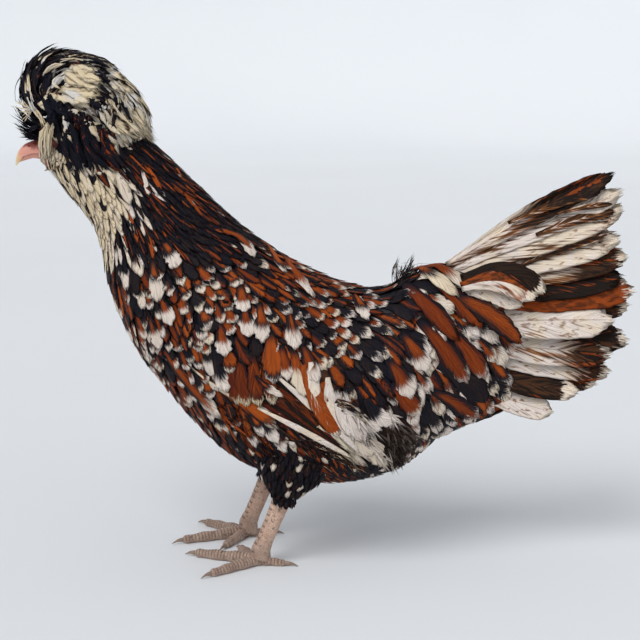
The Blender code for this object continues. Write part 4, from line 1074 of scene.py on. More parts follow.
# Crest colours by place: box, then how pale a feather is, how gold its dark is, how likely a cream tip is
CREST_MARKS = (
    (0.30, 0.02, 0.4),
    (0, 72, 40, 128, 0.00, 0.0, 0.08),
    (58, 120, 46, 64, 0.25, 0.02, 0.2),
    (70, 97, 64, 90, 0.98, 0.0, 0.9),
    (62, 100, 88, 108, 0.75, 0.0, 0.7),
    (98, 165, 66, 170, 0.70, 0.03, 0.8),
    (98, 110, 74, 82, 0.02, 0.0, 0.1),
    (93, 108, 100, 114, 0.02, 0.0, 0.1),
    (114, 124, 96, 114, 0.25, 0.10, 0.4),
    (55, 90, 108, 150, 0.02, 0.10, 0.25),
    (88, 124, 122, 150, 0.80, 0.15, 0.7),
)
CREST_SWAY, CREST_WIDTHS = 0.20, (0.0030, 0.0068)


def crest_lie(points):
    """Directions of the crest feathers at points, the same on both sides."""
    px, py = seen(points)
    away = (px[..., None] - CREST_LIE[:, 0]) ** 2 + (py[..., None] - CREST_LIE[:, 1]) ** 2 + 16
    weight, angle = away**-2.0, np.radians(CREST_LIE[:, 2])
    x, z = (weight * np.cos(angle)).sum(-1), (weight * np.sin(angle)).sum(-1)
    return unit(np.stack([x, np.zeros_like(x), z], -1))


def crest_roots(share, spacing):
    """Roots spread evenly over the crest, away from the neck."""
    tries = unit(rng.normal(0, 1, (24000, 3))) * CREST_SIZE
    points, _out = crest_cover(CREST_CENTRE + leaned(tries, CREST_LEAN), share)
    px, py = seen(points)
    points = points[(py < 132) | (px > 96) & (py < 144)]
    return points[thin_out(points, np.full(len(points), spacing))]


def crest_marks(points):
    n = len(points)
    pale, gold, cream = np.moveaxis(field(*seen(points), CREST_MARKS), -1, 0)
    pale = np.clip(pale + rng.normal(0, 0.14, n), 0, 1)
    tip = np.where(rng.uniform(0, 1, n) < cream, rng.uniform(0.05, 0.25, n), 0.0)
    start = np.where(rng.uniform(0, 1, n) < 0.25, rng.uniform(0.55, 0.9, n), NO_END)
    other = np.clip(pale + rng.normal(0, 0.14, n), 0, 1)
    return np.stack([pale, other, gold, start, tip, np.full(n, 0.25)], -1)


def lay_crest(coat, share, spacing, lift):
    """One layer of crest feathers that follow the lie over the crest's surface."""
    p = crest_roots(share - lift, spacing)
    n, along = len(p), stations(coat.stations, 1.1)
    length = rng.uniform(0.018, 0.034, n)
    sway = rng.normal(0, CREST_SWAY, n)[:, None]
    rise = np.clip(rng.normal(1, 0.35, n), 0.3, 1.7) * lift
    centre, normal = [], []
    for t, ahead in zip(along, [*along[1:], along[-1]]):
        p, out = crest_cover(p, share - lift + rise * 1.1 * t)
        centre.append(p)
        normal.append(out)
        way = crest_lie(p)
        way = way - out * (way * out).sum(-1, keepdims=True)
        way = unit(way + np.cross(out, way) * sway * (t + 0.2))
        p = p + way * (length * (ahead - t))[:, None]
    centre = np.stack(centre, 1)
    side, normal = framed(centre, np.stack(normal, 1), rng.normal(0, 0.10, n))
    half = outline(along, rng.uniform(*CREST_WIDTHS, n), 0.45, 0.58, 0.08, 2.0)
    marks = crest_marks(centre[:, -2])
    v = leaned(centre[:, 0] - CREST_CENTRE, -CREST_LEAN) / CREST_SIZE
    patch = [np.arctan2(v[:, 1], v[:, 0]) / math.tau % 1, 0.5 + 0.4 * v[:, 2], np.full(n, 0.006)]
    coat.add(centre, side, normal, half, along, marks, np.stack(patch, -1), CREST_LOOK)


def build_crest():
    """The crest in three layers, with locks that stand out from them."""
    under = Coat("crest_under", 7, 5)
    lay_crest(under, 0.82, 0.0048, 0.10)
    lay_crest(under, 0.89, 0.0048, 0.08)
    under.build(CREST_MAT)
    crest = Coat("crest_vanes", 8, 5)
    lay_crest(crest, 0.93, 0.0041, 0.06)
    piece = crest.build(CREST_MAT)
    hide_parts("crest")
    locks = Coat("crest_locks", 9, 5)
    build_locks(locks, LOCKS, CREST_CENTRE - np.array([0, 0, 0.012]), CREST_LOOK)
    locks.build(CREST_MAT)


# Locks of the crest and the face: root x and y and tip x and y in pixels of the photograph, distances of root
# and tip from the middle plane in millimetres, bow, count of feathers, then in millimetres the spread of
# roots and of tips and the width, then the marks
LOCKS = (
    (66, 76, 97, 88, 37, 38, 0.02, 4, 3, 3, 9, 0.99, 0.99, 0, 2, 1.0, 0.0),
    (72, 70, 98, 82, 36, 38, 0.02, 4, 3, 3, 9, 0.99, 0.99, 0, 2, 1.0, 0.0),
    (76, 66, 94, 72, 34, 36, 0.02, 3, 2, 2, 8, 0.99, 0.99, 0, 2, 1.0, 0.0),
    (62, 94, 90, 102, 40, 41, 0.02, 6, 4, 4, 8, 0.99, 0.99, 0, 2, 0.1, 0.0),
    (64, 90, 98, 98, 40, 41, 0.02, 5, 4, 4, 8, 0.99, 0.99, 0, 2, 0.1, 0.0),
    (46, 104, 66, 112, 40, 41, 0.05, 6, 3, 3, 5, 0.02, 0.02, 0.0, 2, 0.0, 0.0),
    (48, 100, 54, 122, 39, 38, 0.05, 8, 3, 4, 6, 0.02, 0.02, 0.0, 2, 0.0, 0.0),
    (50, 102, 68, 118, 40, 39, 0.05, 8, 3, 4, 6, 0.02, 0.02, 0.0, 2, 0.0, 0.0),
    (55, 95, 62, 100, 41, 41, 0.05, 3, 1, 1, 2.4, 0.02, 0.02, 0.6, 2, 0.0, 0.1),
    (30, 72, 54, 48, 0, 2, 0.10, 14, 4, 3, 5, 0.02, 0.02, 0, 2, 0.04, 0.1),
    (40, 66, 70, 54, 2, 5, 0.10, 14, 4, 3, 5, 0.02, 0.10, 0, 2, 0.14, 0.1),
    (50, 66, 80, 61, 6, 8, 0.05, 12, 4, 3, 5, 0.02, 0.30, 0, 2, 0.20, 0.1),
    (24, 86, 40, 56, 8, 10, 0.12, 12, 4, 3, 5, 0.02, 0.02, 0, 2, 0.02, 0.1),
    (22, 98, 27, 72, 10, 8, 0.06, 12, 4, 3, 5, 0.02, 0.02, 0, 2, 0.02, 0.1),
    (30, 100, 21, 86, 16, 18, 0.05, 8, 3, 3, 4, 0.02, 0.02, 0, 2, 0.02, 0.1),
    (72, 60, 100, 63, 4, 6, 0.03, 10, 4, 3, 4, 0.02, 0.10, 0, 2, 0.10, 0.1),
    (84, 62, 110, 70, 18, 18, 0.06, 10, 4, 3, 4, 0.05, 0.10, 0, 2, 0.10, 0.1),
    (94, 75, 109, 82, 35, 34, 0.02, 7, 3, 2.5, 3.5, 0.02, 0.02, 0, 2, 0.0, 0.1),
    (90, 100, 106, 112, 39, 37, 0.02, 7, 3, 3, 3.5, 0.02, 0.02, 0, 2, 0.0, 0.1),
    (115, 97, 121, 112, 35, 33, 0.0, 4, 1.5, 1.5, 3, 0.02, 0.02, 0, 2, 0.0, 0.1),
    (122, 102, 130, 120, 31, 29, 0.0, 4, 1.5, 1.5, 2.6, 0.02, 0.02, 0, 2, 0.0, 0.1),
    (134, 126, 139, 139, 24, 22, 0.0, 4, 1.5, 1.5, 3, 0.02, 0.02, 0, 2, 0.0, 0.1),
    (100, 84, 110, 94, 39, 38, 0.0, 4, 1.5, 1.5, 2.2, 0.02, 0.02, 0, 2, 0.0, 0.1),
    (44, 74, 64, 64, 34, 34, 0.12, 4, 1.2, 1.2, 2.6, 0.97, 0.97, 0, 2, 0.5, 0.1),
    (42, 63, 53, 53, 18, 18, 0.10, 3, 1.0, 1.0, 2.2, 0.97, 0.97, 0, 2, 0.5, 0.1),
    (60, 62, 75, 58, 16, 16, 0.04, 4, 1.2, 1.2, 2.2, 0.97, 0.97, 0, 2, 0.5, 0.1),
    (86, 63, 103, 66, 26, 26, 0.05, 4, 1.5, 1.5, 2.6, 0.95, 0.95, 0, 2, 0.3, 0.1),
    (71, 65, 79, 63, 28, 28, 0.0, 3, 1.0, 1.0, 2, 0.02, 0.02, 0.6, 2, 0.0, 0.1),
    (34, 110, 26, 84, 26, 30, 0.08, 5, 3, 2, 2, 0.95, 0.95, 0, 2, 0.30, 0.2),
    (33, 100, 27, 76, 24, 28, 0.08, 4, 3, 2, 2, 0.95, 0.80, 0, 2, 0.30, 0.2),
    (44, 131, 17, 113, 4, 6, 0.10, 12, 4, 4, 3.8, 0.02, 0.02, 0, 2, 0.0, 0.1),
    (45, 134, 17, 124, 6, 8, 0.10, 12, 4, 4, 3.8, 0.02, 0.02, 0, 2, 0.0, 0.1),
    (46, 136, 20, 133, 8, 8, 0.10, 10, 3, 4, 3.6, 0.05, 0.25, 0, 2, 0.04, 0.1),
    (42, 118, 24, 104, 8, 10, 0.10, 8, 5, 5, 4, 0.02, 0.02, 0, 2, 0.0, 0.1),
    (44, 122, 30, 130, 10, 11, 0.05, 8, 5, 5, 4, 0.02, 0.02, 0, 2, 0.0, 0.1),
    (50, 132, 28, 138, 9, 9, 0.08, 7, 3, 3, 3, 0.02, 0.02, 0, 2, 0.0, 0.1),
    (32, 110, 18, 104, 30, 31, 0.0, 5, 2, 5, 1.0, 0.95, 0.95, 0, 2, 0.8, 0.2),
    (32, 110, 21, 112, 30, 31, 0.0, 5, 2, 5, 1.0, 0.95, 0.95, 0, 2, 0.8, 0.2),
    (31, 109, 27, 120, 30, 31, 0.0, 5, 2, 5, 1.0, 0.95, 0.95, 0, 2, 0.8, 0.2),
    (31, 106, 45, 128, 30, 26, 0.04, 8, 2, 3, 1.5, 0.95, 0.95, 0, 2, 0.8, 0.2),
    (56, 95, 39, 104, 40, 37, 0.10, 3, 1.0, 1.2, 8, 0.97, 0.97, 0, 2, 0.2, 0.0),
    (60, 75, 60, 89, 38, 39, -0.50, 4, 0.6, 0.6, 1.8, 0.97, 0.97, 0, 2, 0.1, 0.0),
    (65, 84, 70, 85, 38, 39, 0.0, 3, 1, 1, 3.0, 0.90, 0.90, 0, 2, 0.2, 0.0),
    (68, 111, 79, 116, 40, 40, 0.0, 3, 1, 1, 4.5, 0.97, 0.97, 0, 2, 0.6, 0.0),
    (62, 106, 70, 148, 38, 22, -0.06, 10, 5, 5, 6, 0.02, 0.06, 0, 2, 0.10, 0.1),
    (55, 112, 64, 146, 36, 20, -0.04, 8, 4, 4, 5, 0.02, 0.02, 0, 2, 0.05, 0.1),
    (50, 114, 68, 147, 37, 24, 0.02, 4, 1.5, 2, 8, 0.02, 0.02, 0, 2, 0.20, 0.0),
    (64, 116, 73, 140, 38, 28, -0.05, 4, 1.5, 2, 4.0, 0.95, 0.95, 0, 2, 0.5, 0.1),
    (48, 124, 45, 156, 22, 15, -0.05, 7, 2, 3, 3, 0.97, 0.94, 0, 2, 1.0, 0.2),
    (52, 126, 50, 157, 22, 16, -0.03, 6, 3, 3, 3, 0.80, 0.86, 0, 2, 1.0, 0.2),
    (61, 144, 62, 163, 22, 21, 0.0, 4, 1, 1, 7, 0.02, 0.02, 0, 2, 0.0, 0.0),
    (44, 152, 49, 167, 11, 12, 0.02, 12, 3, 4, 3, 0.92, 0.92, 0, 2, 0.5, 0.3),
    (48, 154, 57, 171, 14, 16, 0.02, 12, 3, 4, 3, 0.92, 0.92, 0, 2, 0.5, 0.3),
    (70, 112, 84, 154, 38, 24, -0.06, 14, 6, 6, 6, 0.02, 0.02, 0.12, 2, 0.04, 0.1),
    (78, 118, 94, 166, 36, 27, -0.06, 14, 6, 7, 6, 0.02, 0.02, 0.15, 2, 0.04, 0.1),
    (72, 124, 82, 168, 33, 31, -0.06, 14, 5, 6, 6, 0.02, 0.02, 0.10, 2, 0.04, 0.1),
    (68, 134, 78, 168, 30, 30, -0.06, 10, 5, 6, 5, 0.02, 0.02, 0.10, 2, 0.04, 0.1),
    (86, 122, 108, 168, 34, 29, -0.06, 14, 6, 7, 6, 0.02, 0.04, 0.20, 2, 0.06, 0.1),
    (98, 130, 122, 166, 32, 30, -0.06, 12, 6, 7, 6, 0.02, 0.02, 0.30, 2, 0.02, 0.1),
    (86, 121, 115, 143, 39, 36, -0.06, 16, 4, 4, 4, 0.92, 0.88, 0.4, 2, 0.80, 0.8),
    (98, 134, 116, 152, 36, 32, -0.04, 10, 4, 4, 3.5, 0.90, 0.85, 0.1, 2, 0.60, 0.4),
    (102, 108, 124, 132, 37, 34, -0.06, 16, 5, 5, 4, 0.92, 0.80, 0.1, 2, 0.50, 0.5),
    (112, 104, 136, 136, 32, 27, -0.08, 14, 6, 5, 5, 0.70, 0.60, 0.1, 2, 0.25, 0.4),
    (122, 98, 144, 132, 24, 18, -0.10, 16, 6, 5, 5, 0.60, 0.75, 0.0, 2, 0.20, 0.3),
    (126, 92, 149, 136, 14, 9, -0.12, 16, 6, 4, 5, 0.70, 0.75, 0.0, 2, 0.20, 0.3),
    (128, 94, 151, 140, 4, 2, -0.12, 14, 6, 4, 5, 0.65, 0.70, 0.0, 2, 0.20, 0.3),
    (106, 108, 116, 142, 37, 33, 0.0, 10, 5, 5, 5, 0.10, 0.35, 0.1, 2, 0.20, 0.3),
)
# Tufts of down on the back and under the tail, in the same form as the locks
TUFTS = (
    (400, 283, 400, 268, 3, 5, 0.10, 20, 8, 9, 0.9, 0.20, 0.35, 0, 2, 0.0, 0.4),
    (407, 282, 411, 267, 6, 9, 0.10, 22, 8, 9, 0.9, 0.15, 0.30, 0, 2, 0.0, 0.4),
    (414, 282, 421, 272, 9, 12, 0.10, 18, 7, 9, 0.9, 0.15, 0.25, 0, 2, 0.0, 0.4),
)
# Fluff that lies on the flank: the distances are lifts above the skin
FLUFF = (
    (322, 416, 358, 450, 5.0, 6.0, 0.02, 10, 7, 8, 5.0, 0.90, 0.80, 0.8, 2, 0.5, 0.5),
    (336, 398, 360, 416, 6.0, 7.0, 0.05, 10, 4, 5, 3.0, 0.30, 0.50, 0.1, 2, 0.1, 0.8),
    (238, 426, 272, 464, 3.0, 5.0, 0.05, 60, 14, 14, 3.0, 0.08, 0.12, 0.0, 2, 0.0, 0.8),
    (220, 412, 250, 444, 3.0, 5.0, 0.05, 16, 11, 12, 5.0, 0.04, 0.04, 0.75, 2, 0.0, 0.0),
    (286, 430, 326, 460, 3.0, 5.0, 0.05, 50, 14, 14, 3.0, 0.12, 0.20, 0.1, 2, 0.0, 1.0),
    (316, 444, 352, 468, 3.0, 5.0, 0.05, 20, 10, 10, 3.0, 0.40, 0.40, 0.1, 2, 0.0, 1.0),
)
# White fluff and grey-brown down, which the body's material colours
SOFT_DOWN = (
    (340, 402, 366, 438, 6.0, 8.0, 0.05, 22, 7, 10, 2.6, 0.97, 0.0, 0.0),
    (366, 438, 386, 464, 6.0, 8.5, 0.05, 26, 6, 8, 2.6, 0.97, 0.0, 0.2),
    (374, 406, 394, 426, 4.0, 6.0, 0.05, 14, 6, 7, 2.4, 0.60, 0.0, 0.0),
    (384, 430, 400, 450, 3.0, 7.0, 0.05, 70, 11, 12, 2.4, 0.0, -1.0, 0.0),
    (378, 444, 394, 466, 3.0, 8.0, 0.05, 60, 10, 10, 2.4, 0.0, -1.0, 0.0),
    (396, 428, 412, 446, 3.0, 8.0, 0.05, 50, 9, 9, 2.4, 0.0, -1.0, 0.0),
)


def crest_side(px, py, share):
    """Distance of the crest's surface from the middle plane where a pixel shows it; 0 off the crest."""
    y = 0.03
    for _ in range(8):
        x, z = photo_place(px, py, -y)
        v = leaned(np.array([x, 0.0, z]) - CREST_CENTRE, -CREST_LEAN) / CREST_SIZE
        flat = math.hypot(v[0], v[2])
        if flat >= share:
            return 0.0
        y = CREST_SIZE[1] * math.sqrt(share**2 - flat**2) * (1 + CREST_SKIRT * max(0.0, -v[2]))
    return y


def lock_ends(px, py, depth, spread, count, on_skin):
    """Ends of the feathers of a lock, gathered round a pixel of the photograph."""
    if not on_skin:
        if depth >= 16 and py < 142:
            side = 1000 * crest_side(px, py, 0.96)
            depth = side + 1.5 if side > 12 else depth
        x, z = photo_place(px, py, -depth / 1000)
        offset = rng.normal(0, spread / 2200, (count, 3)) * np.array([1, 0.7, 1])
        return np.array([x, -depth / 1000, z]) + offset
    px, py = np.array([[px], [py]]) + rng.normal(0, spread / 1.8, (2, count))
    s, a = locate(*photo_place(px, py))
    lift = depth / 1000 * rng.uniform(0.5, 1.2, (count, 1))
    return skin_shape(s, -a) + normals(skin_shape, s, -a) * lift


def build_locks(coat, table, middle, look, on_skin=False):
    """Sets the locks of a table, which spring away from a middle, on both sides of the hen.

    The depths of a table are distances from the middle plane, or lifts from the skin.
    """
    along = stations(coat.stations, 1.1)
    t = along[None, :, None]
    for x0, y0, x1, y1, depth0, depth1, bow, count, spread0, spread1, width, *marks in table:
        root = lock_ends(x0, y0, depth0, spread0, count, on_skin)
        way = lock_ends(x1, y1, depth1, spread1, count, on_skin) - root
        aside = np.stack([-way[:, 2], np.zeros(count), way[:, 0]], -1)
        lean = bow + rng.normal(0, 0.05, (count, 1, 1))
        centre = root[:, None] + way[:, None] * t + aside[:, None] * (lean * np.sin(math.pi * t))
        roll = rng.normal(0, 0.06 if on_skin or count < 5 else 0.12, count)
        side, normal = framed(centre, framed(centre, centre - middle)[1], roll)
        half = outline(along, width / 1000 * rng.uniform(0.7, 1.2, count), 0.5, 0.45, 0.06, 1.6)
        mark = np.tile(np.array(marks, float), (count, 1))
        if len(marks) == 6:
            mark[:, :2] = np.clip(mark[:, :2] + rng.normal(0, 0.06, (count, 2)), 0, 1)
        patch = np.tile(np.array([0.25 + (x0 - 80) / 500, y0 / 300, 0.008]), (count, 1))
        coat.add_pair(centre, side, normal, half, along, mark, patch, look)


def build_down():
    middle = np.array([0.02, 0.0, 0.15])
    down = Coat("soft_down", 7, 3)
    build_locks(down, TUFTS, middle, DOWN_LOOK)
    build_locks(down, FLUFF, middle, DOWN_LOOK, on_skin=True)
    down.build(CREST_MAT)
    grey = Coat("grey_down", 7, 3)
    build_locks(grey, SOFT_DOWN, middle, DOWN_LOOK, on_skin=True)
    grey.build(BODY_MAT)


# Markings of the head by place: box, then share with white tips, length of the tip, gold, warmth
HEAD_MARKS = (
    (0.0, 0.0, -0.45, 0.4),
    (20, 120, 110, 150, 0.20, 0.5, -0.40, 0.5),
    (36, 75, 124, 172, 0.90, 0.90, -0.40, 0.8),
    (60, 120, 150, 260, 0.70, 0.75, -0.30, 0.6),
)
HEAD_RANGE, HEAD_SPACING, HEAD_LIFTS = (0.2, NAPE + 0.1), 0.0024, (0.0002, 0.0022)
THIGH_RANGE, THIGH_SPACING, THIGH_FEATHER = (0.18, 0.93), 0.0042, 0.0058
EYE_PLACE, EYE_BARE = (-0.2085, 0.3385), (0.0085, 0.0075)
BILL_ROOT, CREST_EDGE = -0.2245, 0.352


def face_wanted(points):
    """Away from the bare skin round the eye and the root of the bill, and not under the crest."""
    x, _y, z = np.moveaxis(points, -1, 0)
    eye = np.hypot((x - EYE_PLACE[0]) / EYE_BARE[0], (z - EYE_PLACE[1]) / EYE_BARE[1])
    return (eye > 1) & (x > BILL_ROOT) & (z < CREST_EDGE)


def build_head_coat():
    s, a = scatter(skin_shape, HEAD_RANGE, evenly(HEAD_SPACING), face_wanted)
    n, near = len(s), smooth_step(0.0, 3.5, s)
    likely, tip, gold, warm = np.moveaxis(field(*seen(skin_shape(s, a)), HEAD_MARKS), -1, 0)
    tip = np.where(rng.uniform(0, 1, n) < likely, tip * rng.uniform(0.8, 1.3, n), 0.0)
    marks = np.stack([tip, gold, warmth(warm)], -1)
    coat = Coat("face_feathers", 6, 3)
    length = (0.0065 + 0.0085 * near) * rng.uniform(0.8, 1.2, n)
    width = 0.0021 + 0.0022 * near
    lay_coat(coat, s, a, length, width, marks, NARROW_LOOK, HEAD_LIFTS, HEAD_RANGE, 0.003)
    coat.build(BODY_MAT)


def build_thighs():
    for side, tag in SIDES:
        shape = thigh_shape(side)
        s, a = scatter(shape, THIGH_RANGE, evenly(THIGH_SPACING))
        n = len(s)
        tip = np.where(rng.uniform(0, 1, n) < 0.10, 0.35, 0.0)
        marks = np.stack([tip, rng.uniform(-0.48, 0.0, n), rng.uniform(0, 0.6, n)], -1)
        coat = Coat(f"thigh_feathers_{tag}", 7, 3)
        length, width = rng.uniform(0.016, 0.024, n) * (1.1 - 0.35 * s), np.full(n, THIGH_FEATHER)
        lay_coat(coat, s, a, length, width, marks, LEG_LOOK, COAT_LIFTS, THIGH_RANGE, 0.006, shape, down_leg)
        coat.build(BODY_MAT)


SHANK_PLACES = (0.0, 0.25, 0.5, 0.75, 0.92, 1.0)
SHANK_WIDE = (0.0072, 0.0060, 0.0055, 0.0056, 0.0070, 0.0078)
SHANK_DEEP = (0.0082, 0.0072, 0.0068, 0.0068, 0.0078, 0.0085)
ANKLE, HEEL = np.array([0, 0, 0.0085]), np.array([-0.001, 0, 0])  # from the foot's place
# Toes: name, heading in degrees from straight ahead, length and radius
TOES = (
    ("outer", 41, 0.047, 0.0046),
    ("middle", -22, 0.055, 0.0050),
    ("inner", -66, 0.038, 0.0044),
    ("hind", 170, 0.022, 0.0038),
)
TOE_TAPER = 0.34
CLAW_LENGTH, CLAW_RADIUS = 0.0105, 0.0020
PLATE, TOE_PLATE = 0.0050, 0.0028  # pitch of the plates of shank and toes
PLATE_TURN, PLATE_WIDE = 0.42, 0.46  # place and half width of the shank's two rows, in radians round it


def scutes(along, turn, pitch, height, wide):
    """Relief of a row of overlapping plates where turn is 0, each a slope with a step at its end."""
    plate = np.sin(math.pi * ((along / pitch) % 1.0) ** 0.6) ** 0.5
    return height * plate * smooth_step(wide, wide * 0.7, np.abs(turn))


def joint(along, turn, pitch, wide):
    """1 in the dark joints between the plates of a row."""
    saw = (along / pitch) % 1.0
    return smooth_step(0.24, 0.04, np.minimum(saw, 1 - saw)) * smooth_step(wide, wide * 0.8, np.abs(turn))


def shank_relief(along, turn):
    left = scutes(along, turn + PLATE_TURN, PLATE, 0.00055, PLATE_WIDE)
    right = scutes(along + PLATE / 2, turn - PLATE_TURN, PLATE, 0.00055, PLATE_WIDE)
    back = scutes(along + 0.001, (turn + math.tau + 2.6) % math.tau - math.pi, 0.0036, 0.00035, 0.5)
    return np.maximum(left, right) + back * 0.7


def shank_joints(along, turn):
    left = joint(along, turn + PLATE_TURN, PLATE, PLATE_WIDE)
    return np.maximum(left, joint(along + PLATE / 2, turn - PLATE_TURN, PLATE, PLATE_WIDE))


def toe_relief(along, turn):
    sides = scutes(along, np.abs(turn) - 1.5, TOE_PLATE, 0.0003, 0.55)
    return scutes(along, turn, TOE_PLATE, 0.00045, 0.95) + 0.6 * sides


def toe_joints(along, turn):
    return joint(along, turn, TOE_PLATE, 1.9)


def ring_values(path, sides, value):
    """Values at the points of the rings round a path, from the way along it and the turn round it."""
    length = np.concatenate([[0], np.cumsum(np.linalg.norm(np.diff(path, axis=0), axis=-1))])
    return value(length[:, None], np.linspace(-math.pi, math.pi, sides + 1)[None, :-1])


def tube(path, wides, deeps, fore, sides, relief=None):
    """Rings of points round a path. fore is the side that faces turn 0."""
    step = unit(np.gradient(path, axis=0))
    fore = unit(fore - step * (step * fore).sum(-1, keepdims=True))
    side = np.cross(step, fore)
    turn = np.linspace(-math.pi, math.pi, sides + 1)[:-1]
    out = ring_values(path, sides, relief) if relief else 0.0
    deep, wide = (deeps[:, None] + out) * np.cos(turn), (wides[:, None] + out) * np.sin(turn)
    return path[:, None] + fore[:, None] * deep[..., None] + side[:, None] * wide[..., None]


def tube_piece(name, grids, material, joints=()):
    """One smooth piece of several closed tubes. joints holds how dark their points are."""

    def fill(bm):
        for grid in grids:
            loft_into(bm, grid)
        bmesh.ops.recalc_face_normals(bm, faces=bm.faces)

    mesh = filled_mesh(name, fill)
    mesh.shade_smooth()
    mesh.materials.append(material)
    if joints:
        layer = mesh.attributes.new("joint", "FLOAT", "POINT")
        layer.data.foreach_set("value", np.concatenate([dark.ravel() for dark in joints]).astype(np.float32))
    return add_piece(name, mesh)


def build_shank(hock, foot):
    """Rings of a shank, and how dark their points are."""
    t = np.linspace(-0.12, 1.0, 150)
    path = hock + (foot + ANKLE - hock) * t[:, None]
    path[-14:] += np.array([0.001, 0, -0.0035]) * smooth_step(0, 1, np.linspace(0, 1, 14))[:, None]
    wide, deep = (np.interp(t, SHANK_PLACES, sizes) - 0.0004 for sizes in (SHANK_WIDE, SHANK_DEEP))
    return tube(path, wide, deep, FORWARD, 56, shank_relief), ring_values(path, 56, shank_joints)


def build_foot(side, tag, shank_mat, claw_mat):
    _top, hock, foot = leg_points(side)
    parts = [build_shank(hock, foot)]
    t = np.linspace(0, 1.0, 110)
    tip = np.sqrt(np.clip(1 - ((t - 0.93) / 0.075).clip(0) ** 2, 0.02, 1))
    for name, heading, length, radius in TOES:
        a = math.radians(heading)
        way = np.array([-math.cos(a), side * math.sin(a), 0])
        thick = radius * (1 - TOE_TAPER * t)
        centre = foot + HEEL + way * (length * t)[:, None] + UP * (thick * 0.92)[:, None]
        r = thick * (1 + 0.10 * np.cos(math.tau * 3 * t)) * tip
        grid = tube(centre, r, r, UP, 36, toe_relief)
        grid[..., 2] = np.maximum(grid[..., 2], 0.0)
        parts.append((grid, ring_values(centre, 36, toe_joints)))
        build_claw(f"talon_{name}_{tag}", f"claw_{name}_{tag}", centre[-4], way, claw_mat)
    grids, joints = zip(*parts)
    foot_piece = tube_piece(f"scaled_foot_{tag}", grids, shank_mat, joints)
    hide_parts(f"foot_{tag}")


def build_claw(name, node, tip, way, claw_mat):
    t = np.linspace(-0.12, 1, 22)
    on = np.clip(t, 0, 1)
    height = -tip[2] * 0.74 * on**1.8 + 0.0006 * np.sin(math.pi * on)
    path = tip + way * (0.0008 + CLAW_LENGTH * t)[:, None] + UP * height[:, None]
    r = CLAW_RADIUS * (1 - 0.90 * on**1.15) * 1.02
    grid = tube(path, r * 0.8, r, UP, 20)
    grid[..., 2] = np.maximum(grid[..., 2], 0.0001)
    piece = tube_piece(name, [grid], claw_mat)
    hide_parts(node)


def shank_material():
    """Flesh-coloured scales, greyer on the toes, with dark joints."""
    n = Paint("scaled_shank", 0.45)
    place = n.object_place()
    edge = n.step(0.0, 0.16, n.cells(place, 620.0, "DISTANCE_TO_EDGE"))
    blotch = n.step(0.35, 0.65, n.noise(place, 140.0, 3.0, 0.6))
    shank = n.mix(blotch, (0.58, 0.36, 0.26), (0.72, 0.50, 0.38))
    toes = n.mix(blotch, (0.40, 0.27, 0.21), (0.54, 0.39, 0.30))
    colour = n.mix(n.step(0.010, 0.030, n.parts(place)[2]), toes, shank)
    colour = n.mix(n.step(0.60, 0.72, n.noise(place, 330.0, 2.0)), colour, (0.22, 0.15, 0.12))
    colour = n.mix(edge, n.mix(0.5, colour, (0.25, 0.14, 0.10)), colour)
    gap = n.node("Attribute", out="Fac", attribute_name="joint")
    return n.finish(n.mix(gap * 0.75, colour, (0.12, 0.075, 0.055)), edge - gap, 0.0004, 0.8)


def claw_material():
    n = Paint("claw_horn", 0.35)
    lines = n.noise(n.object_place(), 700.0, 2.0)
    return n.finish(n.mix(lines, (0.16, 0.10, 0.07), (0.36, 0.26, 0.20)), lines, 0.0002)


def build_feet():
    shank_mat, claw_mat = shank_material(), claw_material()
    for side, tag in SIDES:
        build_foot(side, tag, shank_mat, claw_mat)


# Sections of the two halves of the bill from the root out: top x, top z, lower x, lower z, half width
UPPER_BILL = np.array(
    [
        (-0.2195, 0.3346, -0.2235, 0.3243, 0.0074),
        (-0.2275, 0.3353, -0.2300, 0.3248, 0.0064),
        (-0.2325, 0.3342, -0.2330, 0.3241, 0.0058),
        (-0.2386, 0.3312, -0.2382, 0.3224, 0.0047),
        (-0.2430, 0.3263, -0.2408, 0.3194, 0.0032),
        (-0.2452, 0.3205, -0.2432, 0.3172, 0.0017),
        (-0.2457, 0.3152, -0.2449, 0.3148, 0.0004),
    ]
)
LOWER_BILL = np.array(
    [
        (-0.2200, 0.3246, -0.2225, 0.3194, 0.0062),
        (-0.2285, 0.3250, -0.2305, 0.3206, 0.0052),
        (-0.2325, 0.3242, -0.2335, 0.3202, 0.0048),
        (-0.2380, 0.3222, -0.2386, 0.3187, 0.0036),
        (-0.2412, 0.3196, -0.2416, 0.3178, 0.0020),
        (-0.2424, 0.3182, -0.2425, 0.3174, 0.0007),
    ]
)
BILL_TIP = (-0.2457, 0.3152)
WATTLE_TOP, WATTLE_SIZE = (-0.2185, 0.0112, 0.3240), (0.0030, 0.0017, 0.0100)
NOSTRIL_AT, NOSTRIL_SIZE, NOSTRIL_DEEP = (-0.2325, 0.3305), (0.0026, 0.0010), 0.0011
NOSTRIL_TILT = (0.97, 0.24)  # cosine and sine
# Eyelids: first and last turn round the eye, thickness, and height by their width
LIDS = ((-0.25, math.pi + 0.25, 0.00085, 0.70), (math.pi - 0.2, math.tau + 0.2, 0.0007, 0.80))


